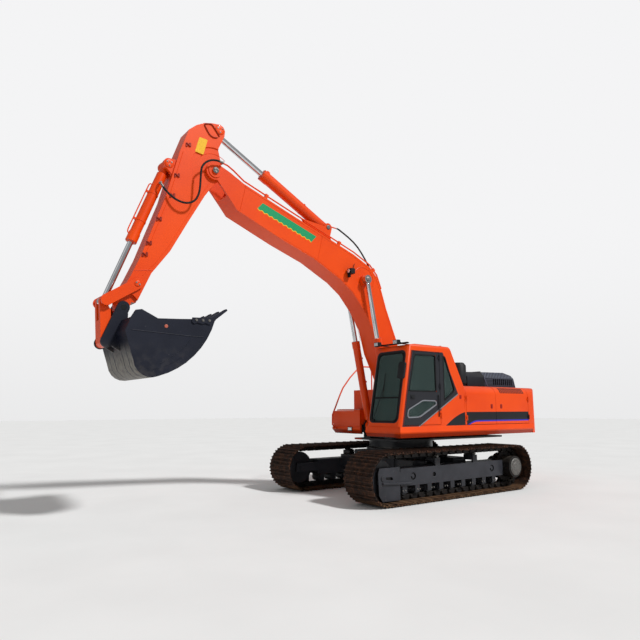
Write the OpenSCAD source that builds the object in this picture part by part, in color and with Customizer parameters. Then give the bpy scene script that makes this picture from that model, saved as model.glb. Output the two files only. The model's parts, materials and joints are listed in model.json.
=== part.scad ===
// Crawler excavator of the 34 tonne class, in millimetres.
// X points forward along the boom, Y to the cab side, Z up. The origin lies on
// the ground under the slewing axis. Outlines are [x, z] pairs in side view.

/* [Tracks] */
// Length over the shoes of one track
track_len = 4950; // [4700:10:5200]
// Height of one track, from the ground to the top shoes
track_h = 992; // [960:1:1040]
// Width of a track shoe
shoe_w = 800; // [600:50:900]
// Distance between the middles of the two tracks
gauge = 2680; // [2600:10:2760]
// Height of a shoe with its bars
shoe_t = 50; // [40:1:60]
// Height of the track chain
chain_t = 100; // [80:1:110]
// Width of the track chain
chain_w = 200; // [160:1:220]
// Bottom rollers on each side
roller_count = 9; // [7:1:10]
// Distance between two bottom rollers
roller_pitch = 345; // [320:1:350]
// Radius of a bottom roller
roller_r = 80; // [70:1:84]
// Radius of a carrier roller
carrier_r = 75; // [65:1:85]

/* [Track frame] */
// Width of the frame beam
frame_w = 320; // [280:1:340]
// Height of the underside of the beam
frame_z0 = 320; // [314:1:330]
// Height of the top of the beam
frame_z1 = 650; // [620:1:660]
// Radius of the cover of the travel gear
hub_r = 235; // [200:1:245]

/* [House] */
// Width over the body sides
house_w = 2960; // [2900:10:3000]
// Height of the underside of the side sills
sill_z0 = 1224; // [1215:1:1240]
// Height of the top of the side sills
sill_z1 = 1445; // [1430:1:1460]
// Height of the body top
body_top = 2300; // [2200:10:2400]
// Radius of the rounded long edge of the body
edge_r = 200; // [150:5:240]
// Thickness of the body panels
panel_t = 30; // [20:1:40]
// Radius that the tail sweeps
tail_r = 3500; // [3400:10:3600]
// Height of the engine hood over the body top
hood_h = 380; // [300:10:450]

/* [Cab] */
// Width of the cab
cab_w = 980; // [920:5:985]
// Height of the cab roof above the ground
cab_top = 3130; // [3050:5:3200]
// Thickness of the cab walls and the door
wall_t = 60; // [45:1:70]
// Thickness of the window glass
glass_t = 8; // [5:1:12]

/* [Boom and arm] */
// Width of the boom box
boom_w = 480; // [440:5:484]
// Width of the arm box
arm_w = 400; // [360:5:404]
// Distance of the boom cylinders from the middle plane
lift_y = 370; // [366:1:372]
// Radius of a boom cylinder barrel
lift_r = 85; // [75:1:88]
// Radius of a boom cylinder rod
lift_rod_r = 50; // [42:1:56]
// Radius of the arm cylinder barrel
crowd_r = 112; // [100:1:115]
// Radius of the arm cylinder rod
crowd_rod_r = 58; // [45:1:62]
// Radius of the bucket cylinder barrel
curl_r = 92; // [80:1:96]
// Radius of the bucket cylinder rod
curl_rod_r = 48; // [40:1:50]
// Radius of the main pins
pin_r = 50; // [40:1:56]

/* [Bucket] */
// Width of the bucket
bucket_w = 1400; // [1200:10:1500]
// Thickness of the bucket plates
bucket_t = 30; // [20:1:40]
// Teeth on the bucket lip
tooth_count = 5; // [4:1:7]

/* [Clearances] */
// Gap between pieces that are fixed to each other
seat_gap = 0.3; // [0.2:0.1:0.5]
// Gap between a pin and its bore
pin_gap = 0.5; // [0.3:0.1:1]
// Gap between pieces that move past each other
run_gap = 7; // [6:1:10]

/* [Hidden] */
$fn = 48;

paint = "OrangeRed";
dark = "DimGray";
black = "Black";
steel = "Silver";

// Pin centres in side view
boom_foot = [100, 1950];
boom_tip = [4970, 6270];
lift_foot = [620, 1420];
lift_eye = [1280, 4640];
crowd_foot = [2200, 5720];
crowd_eye = [4870, 7150];
bucket_pin = [6530, 3480];
rocker_pin = [6330, 3900];
rocker_end = [6820, 3570];
link_end = [6770, 2890];
curl_foot = [5840, 6220];

track_r = track_h / 2;
wheel_x = track_len / 2 - track_r;
chain_r = track_r - shoe_t - chain_t;
track_y = gauge / 2;
half_w = house_w / 2;
side_hinge_y = half_w + 16;
cab_hinge_x = 267;
cab_hinge_z = [1660, 2260, 2860];
panel_hinge_z = [1600, 2020];
boom_y = boom_w / 2;
arm_y = arm_w / 2;

// Layers across the machine at the boom foot and the lift cylinders
foot_plate_y0 = boom_y + run_gap;
foot_plate_y1 = lift_y - lift_r - 6;
lift_eye_w = 90;
ear_y = lift_y + lift_eye_w / 2 + 10;
side_y = lift_y + lift_r + 15;

// Layers across the arm end
nose_y = 150;
ear_in = nose_y + run_gap + 1;
ear_out = arm_y;
rocker_in = arm_y + run_gap + 1;
rocker_out = rocker_in + 40;

function unit(v) = v / norm(v);
function turn(v, a) = [v[0] * cos(a) - v[1] * sin(a), v[0] * sin(a) + v[1] * cos(a)];
function heading(a, b) = atan2(b[1] - a[1], b[0] - a[0]);
function arc(c, r, a0, a1, n) = [for (i = [0:n])
    c + r * [cos(a0 + (a1 - a0) * i / n), sin(a0 + (a1 - a0) * i / n)]];
function flip(points) = [for (i = [len(points) - 1:-1:0]) points[i]];

// A plate from y0 to y1 with a side-view outline drawn by its children
module across(y0, y1) {
    translate([0, y1, 0]) rotate([90, 0, 0]) linear_extrude(y1 - y0) children();
}

// A cylinder across the machine from y0 to y1 at a side-view point
module disc(p, r, y0, y1) {
    translate([p[0], y1, p[1]]) rotate([90, 0, 0]) cylinder(h = y1 - y0, r = r);
}

// A box from its lowest to its highest corner
module block(lo, hi) {
    translate(lo) cube(hi - lo);
}

// Two circles and the straight flanks that touch both
module strap(p1, r1, p2, r2) {
    a = heading(p1, p2);
    f = acos((r1 - r2) / norm(p2 - p1));
    translate(p1) circle(r1);
    translate(p2) circle(r2);
    polygon([p1 + r1 * [cos(a + f), sin(a + f)], p1 + r1 * [cos(a - f), sin(a - f)],
        p2 + r2 * [cos(a - f), sin(a - f)], p2 + r2 * [cos(a + f), sin(a + f)]]);
}

// Children drawn along +X, placed at p and turned towards q, at distance y from the middle
module along(p, q, y) {
    translate([p[0], y, p[1]]) rotate([0, -heading(p, q), 0]) children();
}

// A round bar on the X axis from x0 to x1
module bar(r, x0, x1) {
    translate([x0, 0, 0]) rotate([0, 90, 0]) cylinder(h = x1 - x0, r = r);
}

// Pin hinges: the pin stands on the Z axis, hinge_d outside the face at -Y that it is seated on
hinge_d = 16;
hinge_r = 14;
hinge_pin_r = 7;
knuckle_h = 36;
leaf_len = 50;
module hinge_leaf(x0, z0) {
    block([x0, -hinge_d - 2, z0], [x0 + leaf_len, -hinge_d + 10, z0 + knuckle_h]);
}
module hinge_fixed() {
    for (z = [-1.5 * knuckle_h - 1, 0.5 * knuckle_h + 1]) {
        translate([0, 0, z]) cylinder(h = knuckle_h, r = hinge_r);
        hinge_leaf(-leaf_len, z);
    }
    translate([0, 0, -1.5 * knuckle_h - 4]) cylinder(h = 3 * knuckle_h + 8, r = hinge_pin_r);
}
module hinge_moving() {
    difference() {
        union() {
            translate([0, 0, -knuckle_h / 2]) cylinder(h = knuckle_h, r = hinge_r);
            hinge_leaf(0, -knuckle_h / 2);
        }
        translate([0, 0, -knuckle_h]) cylinder(h = 2 * knuckle_h, r = hinge_pin_r + pin_gap);
    }
}
module hinges_at(x, y, heights, flipped) {
    for (z = heights) translate([x, y, z]) rotate([0, flipped, 0]) children();
}

// Left piece and its mirror image
module both_sides() {
    children();
    mirror([0, 1, 0]) children();
}

// Stadium outline of a track layer
module loop_outline(r) {
    for (s = [-1, 1]) translate([s * wheel_x, track_r]) circle(r, $fn = 96);
    translate([-wheel_x, track_r - r]) square([2 * wheel_x, 2 * r]);
}

module carbody() {
    color(dark) {
        block([-850, -650, 520], [850, 650, 880]);
        for (sx = [-1, 1]) for (sy = [-1, 1])
            translate([sx * 620 - 210, sy > 0 ? 640 : -track_y + frame_w / 2 + seat_gap, 440])
                cube([420, track_y - frame_w / 2 - seat_gap - 640, 300]);
        translate([0, 0, 870]) cylinder(h = 60, r = 780, $fn = 96);
        for (s = [-1, 1]) tow_eye(s);
    }
}

// Plate with an upright bore at each end of the car body
tow_bore = 64;
module tow_eye(s) {
    difference() {
        union() {
            translate([s * 900 - 60, -130, 600]) cube([120, 260, 50]);
            translate([s * 960, 0, 600]) cylinder(h = 50, r = 130);
        }
        translate([s * 980, 0, 590]) cylinder(h = 70, d = tow_bore);
    }
}

slew_ring_r = 620;
slew_z0 = 930 + seat_gap;
deck_z = 1100;
module slew_ring() {
    color(steel) difference() {
        translate([0, 0, slew_z0]) cylinder(h = deck_z - run_gap - slew_z0, r = slew_ring_r, $fn = 96);
        translate([0, 0, slew_z0 - 1]) cylinder(h = 300, r = slew_ring_r - 120, $fn = 96);
    }
}

// Point of the track loop at the length s from the rear end of its bottom run, r from its middle line
seat_r = track_r - shoe_t;
loop_len = 4 * wheel_x + 2 * PI * seat_r;
function loop_point(s, r) = let (run = 2 * wheel_x, bend = PI * seat_r)
    s < run ? [s - wheel_x, track_r - r]
    : s < run + bend ? [wheel_x, track_r] + r * [cos(180 * (s - run) / bend - 90),
        sin(180 * (s - run) / bend - 90)]
    : s < 2 * run + bend ? [wheel_x - (s - run - bend), track_r + r]
    : [-wheel_x, track_r] + r * [cos(180 * (s - 2 * run - bend) / bend + 90),
        sin(180 * (s - 2 * run - bend) / bend + 90)];
shoe_count = 48;
plate_t = 20;
bar_foot = 34;
// Outline of one shoe as shares of its pitch and heights over its seat: a joint, then three bars
shoe_form = concat([[0.01, 4], [0.04, plate_t]], [for (m = [0.16, 0.5, 0.84]) for (k = [-1, 0, 1])
    [m + k * bar_foot / 2 * shoe_count / loop_len, k == 0 ? shoe_t : plate_t]]);
module track() {
    pitch = loop_len / shoe_count;
    color("SaddleBrown") translate([0, track_y, 0]) {
        across(-shoe_w / 2, shoe_w / 2) difference() {
            polygon([for (i = [0:shoe_count - 1]) for (f = shoe_form)
                loop_point((i + f[0]) * pitch, seat_r + f[1])]);
            loop_outline(seat_r);
        }
        across(-chain_w / 2, chain_w / 2) difference() {
            loop_outline(seat_r + 1);
            loop_outline(chain_r);
        }
    }
}

axle_r = 45;
beam_x0 = -1550;
beam_x1 = 1500;
module track_frame() {
    y0 = track_y - frame_w / 2;
    y1 = track_y + frame_w / 2;
    color(dark) difference() {
        union() {
            block([beam_x0, y0, frame_z0], [beam_x1, y1, frame_z1]);
            block([-wheel_x, y0, frame_z0 + 20], [beam_x0 + 10, y0 + 80, frame_z1]);
            disc([-wheel_x, track_r], 290, y0, y0 + 80, $fn = 96);
            block([beam_x0 - 160, y1 - 40, frame_z0], [beam_x0 + 10, y1, frame_z1]);
            for (y = [y0, y1 - 40]) block([beam_x1 - 10, y, 400], [wheel_x + 110, y + 40, 592]);
            across(y1 - 5, y1 + 15) polygon([[1530, 75], [1985, 75], [2075, 200], [2092, 600],
                [2060, 690], [1530, 690]]);
            across(y1 - 5, y1 + 50) polygon([[1240, 350], [1990, 395], [1990, 425], [1240, 380]]);
        }
        disc([-wheel_x, track_r], 205 + pin_gap, y0 - 1, y0 + 81);
        disc([-wheel_x, track_r], hub_r + run_gap, y1 - 41, y1 + 1);
        disc([wheel_x, track_r], axle_r + pin_gap, y0 - 1, y1 + 16);
        disc([550, 487], 48, y1 - 25, y1 + 1);
        for (x = [1150, -1320]) across(y1 - 25, y1 + 1) difference() {
            translate([x, 490]) circle(72);
            translate([x, 490]) circle(34);
            translate([x - 20, 492]) square([200, 46]);
        }
        across(y1 - 20, y1 + 20) polygon([[1720, 455], [1880, 465], [1905, 490], [1895, 520], [1740, 515],
            [1715, 490]]);
    }
}

module idlers() {
    color(dark) both_sides() {
        disc([wheel_x, track_r], chain_r - seat_gap, track_y - 90, track_y + 90, $fn = 96);
        disc([wheel_x, track_r], axle_r, track_y - frame_w / 2, track_y + frame_w / 2 + 30);
    }
}

sprocket_teeth = 21;
tooth_h = 32;
module sprockets() {
    tip = chain_r - seat_gap;
    color(dark) both_sides() {
        across(track_y - 30, track_y + 30) translate([-wheel_x, track_r])
            polygon([for (i = [0:sprocket_teeth - 1])
            for (f = [[0.08, tip - tooth_h], [0.36, tip], [0.64, tip], [0.92, tip - tooth_h]])
                let (a = 360 * (i + f[0]) / sprocket_teeth) f[1] * [cos(a), sin(a)]]);
        disc([-wheel_x, track_r], hub_r, track_y - 20, track_y + 310, $fn = 96);
        disc([-wheel_x, track_r], 205, track_y - frame_w / 2 - 170, track_y, $fn = 96);
    }
}

module track_rollers() {
    z = shoe_t + chain_t + roller_r;
    top_z = track_h - shoe_t - chain_t - carrier_r;
    color(dark) both_sides() {
        for (i = [0:roller_count - 1]) {
            x = (i - (roller_count - 1) / 2) * roller_pitch;
            disc([x, z], roller_r - seat_gap, track_y - 120, track_y + 120);
            disc([x, z], axle_r - 10, track_y - 155, track_y + 155);
            for (y = [track_y - 155, track_y + 130])
                block([x - 60, y, z - 45], [x + 60, y + 25, frame_z0 - seat_gap]);
        }
        for (x = [430, -760]) {
            disc([x, top_z], carrier_r - seat_gap, track_y - 100, track_y + 100);
            disc([x, top_z], axle_r - 10, track_y - 100, track_y + 155);
            block([x - 70, track_y + 110, frame_z1 + seat_gap], [x + 70, track_y + 155, top_z + 40]);
        }
    }
}

sill_x0 = -3000;
sill_x1 = 1489;
right_front = 830;
sill_y = 150;
floor_z = 1400;
module slew_deck() {
    color(dark) {
        difference() {
            union() {
                translate([0, 0, deck_z]) cylinder(h = 40, r = 800, $fn = 96);
                block([-2850, -700, deck_z], [800, 700, deck_z + 40]);
                translate([0, 0, 960]) cylinder(h = deck_z - 959, r = 720, $fn = 96);
            }
            translate([0, 0, 950]) cylinder(h = deck_z - 950, r = slew_ring_r + pin_gap, $fn = 96);
        }
        both_sides() foot_plate();
        for (x = [-2700, -1650, -700]) {
            block([x, -half_w + 20, 1240], [x + 120, -foot_plate_y0, floor_z + 10]);
            block([x, foot_plate_y0, 1240], [x + 120, half_w - 20, floor_z + 10]);
        }
        block([300, -half_w + 20, 1240], [420, -foot_plate_y1 + 10, floor_z + 10]);
        block([300, foot_plate_y1 - 10, 1240], [420, half_w - 20, floor_z + 10]);
        block([1300, 520, 1240], [1420, half_w - 20, floor_z + 10]);
        block([sill_x0, foot_plate_y0, floor_z], [0, half_w - 20, sill_z1 - seat_gap]);
        block([-10, side_y, floor_z], [sill_x1 - 40, half_w - 20, sill_z1 - seat_gap]);
        block([sill_x0, -half_w + 20, floor_z], [0, -foot_plate_y0, sill_z1 - seat_gap]);
        block([-10, -half_w + 20, floor_z], [right_front, -side_y, sill_z1 - seat_gap]);
    }
    color(paint) {
        sill(sill_x1);
        mirror([0, 1, 0]) sill(right_front);
    }
}

// Side sill with a bevelled lower and upper edge
module sill(x1) {
    edge_in = 33;
    crease_z = sill_z0 + 110;
    intersection() {
        translate([sill_x0, 0, 0]) rotate([90, 0, 90]) linear_extrude(x1 + 10 - sill_x0)
            polygon([[side_y, sill_z0], [half_w - 25, sill_z0], [half_w + 35, crease_z],
                [half_w + 2, sill_z1 - seat_gap], [side_y, sill_z1 - seat_gap]]);
        across(0, half_w + 100)
            polygon([[sill_x0 - 10, sill_z0 - 10], [x1 - 60, sill_z0 - 10], [x1 - 60, sill_z0],
                [x1, crease_z],
                [x1 - edge_in, sill_z1], [x1 - edge_in, sill_z1 + 10], [sill_x0 - 10, sill_z1 + 10]]);
        union() {
            block([sill_x0 - 20, half_w - sill_y, sill_z0 - 20], [x1 + 20, half_w + 60, sill_z1 + 20]);
            block([x1 - 85, 0, sill_z0 - 20], [x1 + 20, half_w - sill_y + 10, sill_z1 + 20]);
        }
    }
}

// Upright plate that holds the boom foot and the inner side of a lift cylinder
module foot_plate() {
    difference() {
        union() {
            across(foot_plate_y0, foot_plate_y1) {
                strap(boom_foot, 190, lift_foot, 112);
                polygon([[-2850, deck_z + 10], [lift_foot[0] + 90, deck_z + 10],
                    [lift_foot[0] + 90, lift_foot[1]],
                    [boom_foot[0], boom_foot[1] + 100], [-80, boom_foot[1] + 60], [-800, floor_z],
                    [-2850, floor_z]]);
            }
            disc(lift_foot, 100, foot_plate_y0 + 5, lift_y - lift_eye_w / 2 - 4);
            disc(lift_foot, 110, ear_y, ear_y + 35);
            block([lift_foot[0] - 104, ear_y, deck_z + 20], [lift_foot[0] + 104, ear_y + 35, lift_foot[1]]);
            block([lift_foot[0] - 96, foot_plate_y1 - 5, deck_z + 20],
                [lift_foot[0] + 96, ear_y + 10, deck_z + 70]);
            disc(lift_foot, pin_r, foot_plate_y0, ear_y + 45);
        }
        disc(boom_foot, pin_r + 10 + pin_gap, foot_plate_y0 - 1, foot_plate_y1 + 1);
    }
}

// Cab outline from the front foot round over the roof to the rear
cab_front_x = 1465;
cab_front_top = 1163;
front_foot = 60;
cab_rear_x = -510;
cab_floor = sill_z1;
cab_y1 = half_w;
cab_y0 = half_w - cab_w;
cab_corner = 85;
roof_front = [cab_front_top, cab_top - 90];
roof_rear = [-60, cab_top - 10];
waist = [cab_rear_x, 2250];
rake = atan2(cab_front_x - roof_front[0], roof_front[1] - cab_floor - front_foot);
function cab_outline(d) = [[cab_rear_x + d, cab_floor + d], [cab_front_x - d, cab_floor + d],
    [cab_front_x - d, cab_floor + front_foot], [roof_front[0] - d * 1.02, roof_front[1]],
    [roof_front[0] - 60 - d, cab_top - 25 - d * 0.8], [roof_front[0] - 250, cab_top - d],
    [roof_rear[0] - 10 + d * 0.7, roof_rear[1] - d], [waist[0] + d, waist[1]]];
function front_x(z) = cab_front_x
    + (roof_front[0] - cab_front_x) * (z - cab_floor - front_foot)
    / (roof_front[1] - cab_floor - front_foot);
door_x0 = 262;
door_z0 = cab_floor + 20;
door_z1 = cab_top - 150;
door_gap = 10;
door_in = cab_corner + 12;
function door_outline(d) = [[door_x0 + d, door_z0 + d], [cab_front_x - door_in - d, door_z0 + d],
    [cab_front_x - door_in - d, cab_floor + front_foot], [front_x(door_z1) - door_in - d, door_z1 - d],
    [door_x0 + d, door_z1 - d]];
frame_in = 110;
door_window = [[door_x0 + frame_in, 2140], [front_x(2140) - cab_corner - 50, 2140],
    [front_x(door_z1 - 70) - cab_corner - 90, door_z1 - 70], [door_x0 + frame_in, door_z1 - 60]];
lower_window = [[front_x(1610) - cab_corner - 105, 1610], [front_x(1780) - cab_corner - 85, 1780],
    [door_x0 + 530, 1980], [door_x0 + frame_in + 30, 1970], [door_x0 + frame_in, 1880],
        [door_x0 + 630, 1620]];
quarter_window = [[door_x0 - frame_in, door_z1 - 60], [door_x0 - 190, door_z1 - 80], [door_x0 - 460, 2240],
    [door_x0 - 450, 2160], [door_x0 - frame_in - 30, 1960], [door_x0 - frame_in, 1980]];
right_window = [[-300, 2000], [front_x(2000) - 140, 2000], [front_x(cab_top - 200) - 120, cab_top - 200],
    [0, cab_top - 200], [-300, 2450]];
screen_w = cab_w - 2 * cab_corner - 26;
screen_z = [25, 1480];
screen_corner = 90;

// Children with their YZ plane laid into the raked front of the cab, its height counted from the front foot
module on_front() {
    translate([cab_front_x, 0, cab_floor + front_foot]) rotate([0, -rake, 0]) children();
}
module rounded(w, h, r) {
    translate([r, 0]) square([w - 2 * r, h]);
    translate([0, r]) square([w, h - 2 * r]);
    for (x = [r, w - r]) for (y = [r, h - r]) translate([x, y]) circle(r);
}
module screen(x0, x1, d) {
    on_front() translate([x0, cab_y0 + cab_w / 2 - screen_w / 2 + d, screen_z[0] + d]) rotate([90, 0, 90])
        linear_extrude(x1 - x0) rounded(screen_w - 2 * d, screen_z[1] - screen_z[0] - 2 * d,
            screen_corner - d);
}

// Outer form of the cab, with rounded front pillars and roof edges
module cab_form() {
    past = 40;
    edge = roof_front - [60, -65];
    intersection() {
        across(cab_y0, cab_y1) polygon([[cab_rear_x, cab_floor], [cab_front_x + past, cab_floor],
            [cab_front_x + past, cab_floor + front_foot], roof_front + past / 60 * (roof_front - edge),
                edge,
            [roof_front[0] - 250, cab_top], [roof_rear[0] - 10, roof_rear[1]], waist]);
        translate([cab_rear_x - 10, 0, 0]) rotate([90, 0, 90]) linear_extrude(2200) {
            translate([cab_y0, cab_floor - 10]) square([cab_w, cab_top - cab_corner - cab_floor + 10]);
            translate([cab_y0 + cab_corner, cab_floor])
                square([cab_w - 2 * cab_corner, cab_top - cab_floor + 20]);
            for (y = [cab_y0 + cab_corner, cab_y1 - cab_corner])
                translate([y, cab_top - cab_corner]) circle(cab_corner, $fn = 96);
        }
        on_front() translate([0, 0, -300]) linear_extrude(2400) {
            translate([-2800, cab_y0]) square([2800 - cab_corner, cab_w]);
            translate([-2800, cab_y0 + cab_corner]) square([2800, cab_w - 2 * cab_corner]);
            for (y = [cab_y0 + cab_corner, cab_y1 - cab_corner]) translate([-cab_corner, y])
                circle(cab_corner, $fn = 96);
        }
    }
}
module cab_shell() {
    color(paint) difference() {
        cab_form();
        across(cab_y0 + wall_t, cab_y1 - wall_t) polygon(cab_outline(wall_t));
        across(cab_y1 - wall_t - 1, cab_y1 + 1) polygon(door_outline(0));
        across(cab_y1 - wall_t - 1, cab_y1 + 1) polygon(quarter_window);
        across(cab_y0 - 1, cab_y0 + wall_t + 1) polygon(right_window);
        screen(-110, 20, 0);
        across(cab_y0 + 110, cab_y1 - 110) polygon([[waist[0] - 50, waist[1] + 90], [-250, waist[1] + 90],
            [-50, cab_top - 150], [-250, cab_top - 150]]);
    }
    color(paint) hinges_at(cab_hinge_x, side_hinge_y, cab_hinge_z, 0) hinge_fixed();
}

// Panes stand inside their openings, with a seat gap all round
pane_in = 18;
module pane(points, y) {
    across(y, y + glass_t) offset_outline(points);
}
module offset_outline(points) {
    c = [for (i = [0:1]) (min([for (p = points) p[i]]) + max([for (p = points) p[i]])) / 2];
    polygon([for (p = points) p - unit(p - c) * 3 * seat_gap]);
}
module cab_glass() {
    color("DarkSlateGray") {
        pane(quarter_window, cab_y1 - pane_in - glass_t);
        pane(right_window, cab_y0 + pane_in);
        screen(-pane_in - glass_t, -pane_in, seat_gap);
    }
}

module cab_door() {
    color(dark) difference() {
        across(cab_y1 - wall_t, cab_y1) polygon(door_outline(door_gap));
        across(cab_y1 - wall_t - 1, cab_y1 + 1) polygon(door_window);
        across(cab_y1 - wall_t - 1, cab_y1 + 1) polygon(lower_window);
    }
    color(dark) hinges_at(cab_hinge_x, side_hinge_y, cab_hinge_z, 0) hinge_moving();
}

module door_glass() {
    color("DarkSlateGray") {
        pane(door_window, cab_y1 - pane_in - glass_t);
        pane(lower_window, cab_y1 - pane_in - glass_t);
    }
}

module operator_seat() {
    y = (cab_y0 + cab_y1) / 2;
    z = cab_floor + wall_t + seat_gap;
    color(black) {
        block([120, y - 200, z], [560, y + 200, z + 250]);
        block([80, y - 250, z + 249], [640, y + 250, z + 400]);
        translate([130, 0, z + 390]) rotate([0, -12, 0]) block([-110, y - 230, 0], [10, y + 230, 650]);
        for (s = [-1, 1]) {
            block([200, y + s * 330 - 60, z], [700, y + s * 330 + 60, z + 480]);
            block([600, y + s * 330 - 20, z + 479], [640, y + s * 330 + 20, z + 650]);
        }
        block([900, y - 150, z], [1050, y + 150, z + 60]);
        for (s = [-1, 1]) translate([980, y + s * 90, z + 50]) rotate([0, -12, 0])
            cylinder(h = 600, r = 16);
    }
}

// Two work lamps on a bar that two arms hold out over the front edge of the roof
module cab_lamps() {
    z = cab_top + seat_gap;
    x = roof_front[0];
    color(black) {
        block([x - 70, cab_y0 + 50, z], [x - 20, cab_y1 - 50, z + 16]);
        for (y = [cab_y0 + 120, cab_y0 + 700]) {
            block([x - 283, y - 20, z], [x + 40, y + 20, z + 14]);
            block([x + 20, y - 68, z - 14], [x + 105, y + 68, z + 78]);
        }
    }
}

// Mirror in front of the left pillar, on two bars that stand on its rounded face
module side_mirror() {
    color(black) on_front() {
        for (z = [950, 1140]) translate([-cab_corner, cab_y1 - cab_corner, z]) rotate([0, 0, 30])
            translate([cab_corner + seat_gap, 0, 0]) rotate([0, 90, 0]) cylinder(h = 140, r = 11);
        translate([100, cab_y1 - 85, 880]) rotate([90, 0, 90]) linear_extrude(46) rounded(180, 340, 45);
    }
}

cw_x = -2865;
module counterweight() {
    corner_r = 310;
    color(paint) difference() {
        intersection() {
        translate([0, 0, sill_z0]) linear_extrude(body_top - sill_z0) union() {
            intersection() {
                circle(tail_r, $fn = 256);
                translate([-tail_r, -half_w + corner_r]) square([tail_r + cw_x, 2 * (half_w - corner_r)]);
            }
            for (s = [-1, 1]) translate([-3000, s * (half_w - corner_r)]) circle(corner_r, $fn = 96);
            translate([-3000, -half_w]) square([3000 + cw_x, 2 * half_w]);
        }
        across(-2000, 2000) polygon(concat([[cw_x, sill_z0], [cw_x, body_top], [-3150, body_top]],
            arc([-3300, body_top - 200], 195, 80, 180, 8), [[-3500, 1500], [-3420, sill_z0]]));
        translate([-3600, 0, 0]) rotate([90, 0, 90]) linear_extrude(800) {
            top_edge = arc([half_w - edge_r, body_top - edge_r], edge_r, 0, 90, 8);
            polygon(concat([[half_w + 20, sill_z0 - 20], [half_w + 20, body_top - edge_r - 1]], top_edge,
                [[half_w - edge_r - 1, body_top + 20], [edge_r + 1 - half_w, body_top + 20]],
                flip([for (p = top_edge) [-p[0], p[1]]]),
                    [[-half_w - 20, body_top - edge_r - 1], [-half_w - 20, sill_z0 - 20]]));
        }
        }
        block([sill_x0 - 4, -half_w - 50, sill_z0 - 10], [cw_x + 10, half_w + 50, sill_z1]);
    }
    color(paint) {
        hinges_at(rear_hinge_x, side_hinge_y, panel_hinge_z, 0) hinge_fixed();
        for (y = hood_hinge_y) translate([hood_axis[0], y, hood_axis[1]]) {
            for (s = [-1, 1]) {
                translate([0, s * 37, 0]) rotate([90, 0, 0])
                    cylinder(h = knuckle_h, r = hinge_r, center = true);
                block([-12, s * 37 - 15, body_top - hood_axis[1] - 1], [12, s * 37 + 15, 0]);
            }
            rotate([90, 0, 0]) cylinder(h = 3 * knuckle_h + 8, r = hinge_pin_r, center = true);
        }
    }
}
rear_hinge_x = cw_x + 5;
front_hinge_x = -560;
pump_hinge_x = -1750;

post_x = [-560, -1605, cw_x + 5];
module body_shell() {
    h0 = sill_z1;
    color(paint) {
        bulkhead(post_x[0] - 40, foot_plate_y1 + 20);
        bulkhead(cw_x + seat_gap, -half_w);
        difference() {
            block([cw_x + seat_gap, -half_w + edge_r + 15, body_top - panel_t - 1],
                [post_x[0], half_w - edge_r - 15, body_top]);
            block([cw_x + 60, -hood_y + 80, body_top - 100], [hood_x1 - 60, hood_y - 80, body_top + 10]);
        }
        block([post_x[1] - 20, half_w - 250, h0], [post_x[1] + 20, half_w - edge_r - 10,
            body_top - panel_t]);
        side_panel(-556, -514);
        block([-570, 1390, h0], [-514, half_w - panel_t - 8, body_top - edge_r]);
        block([-550, 1390, h0], [-516, half_w - panel_t + 5, body_top - edge_r - 10]);
        hinges_at(front_hinge_x, side_hinge_y, panel_hinge_z, 180) hinge_fixed();
    }
}

// Upright plate across the body that stays clear of the side panels, from y0 to the left side
module bulkhead(x, y0) {
    d = panel_t + 8;
    flat = half_w - edge_r;
    translate([x, 0, 0]) rotate([90, 0, 90]) linear_extrude(40) intersection() {
        translate([y0, sill_z1]) square([2 * half_w, 2 * body_top]);
        union() {
            translate([d - half_w, sill_z1]) square([2 * (half_w - d), body_top - edge_r - sill_z1]);
            for (s = [-1, 1]) translate([s * flat, body_top - edge_r]) circle(edge_r - d, $fn = 96);
            translate([-flat, sill_z1]) square([2 * flat, body_top - d - sill_z1]);
            translate([20 - flat, sill_z1]) square([2 * (flat - 20), body_top - panel_t - sill_z1]);
        }
    }
}

// Cross-section of a body side panel with its rounded upper edge, in y and z
module side_section(y1) {
    difference() {
        union() {
            translate([y1 - edge_r, sill_z1 + 10]) square([edge_r, body_top - edge_r - sill_z1 - 10]);
            translate([y1 - edge_r, body_top - edge_r]) circle(edge_r, $fn = 96);
        }
        translate([y1 - edge_r - 1000, 0]) square([1000, 4000]);
        translate([y1 - edge_r - 1, sill_z1 - 1])
            square([edge_r - panel_t + 1, body_top - edge_r - sill_z1 + 1]);
        translate([y1 - edge_r, body_top - edge_r]) circle(edge_r - panel_t, $fn = 96);
    }
}
module side_panel(x0, x1) {
    translate([x0, 0, 0]) rotate([90, 0, 90]) linear_extrude(x1 - x0) side_section(half_w);
}
// A side panel whose free end is cut on the arc that it swings on
module hinged_panel(x0, x1, hinge_x, free_x, flipped) {
    intersection() {
        side_panel(x0, x1);
        translate([hinge_x, side_hinge_y, sill_z1])
            cylinder(h = 1000, r = abs(free_x - hinge_x), $fn = 256);
    }
    hinges_at(hinge_x, side_hinge_y, panel_hinge_z, flipped) hinge_moving();
}
module side_door_front() {
    color(paint) hinged_panel(post_x[1] + 4, post_x[0] - 4, front_hinge_x, post_x[1] + 4, 180);
}
module side_door_rear() {
    color(paint) hinged_panel(post_x[2] + 4, post_x[1] - 4, rear_hinge_x, post_x[1] - 4, 0);
}

pump_x = -1750;
module pump_door() {
    color(paint) mirror([0, 1, 0]) hinged_panel(post_x[2] + 4, pump_x - 4, pump_hinge_x, post_x[2] + 4,
        180);
}

module engine_block() {
    color(dark) block([-2650, -450, sill_z1], [-1400, 430, deck_z + 1100]);
}

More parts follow.
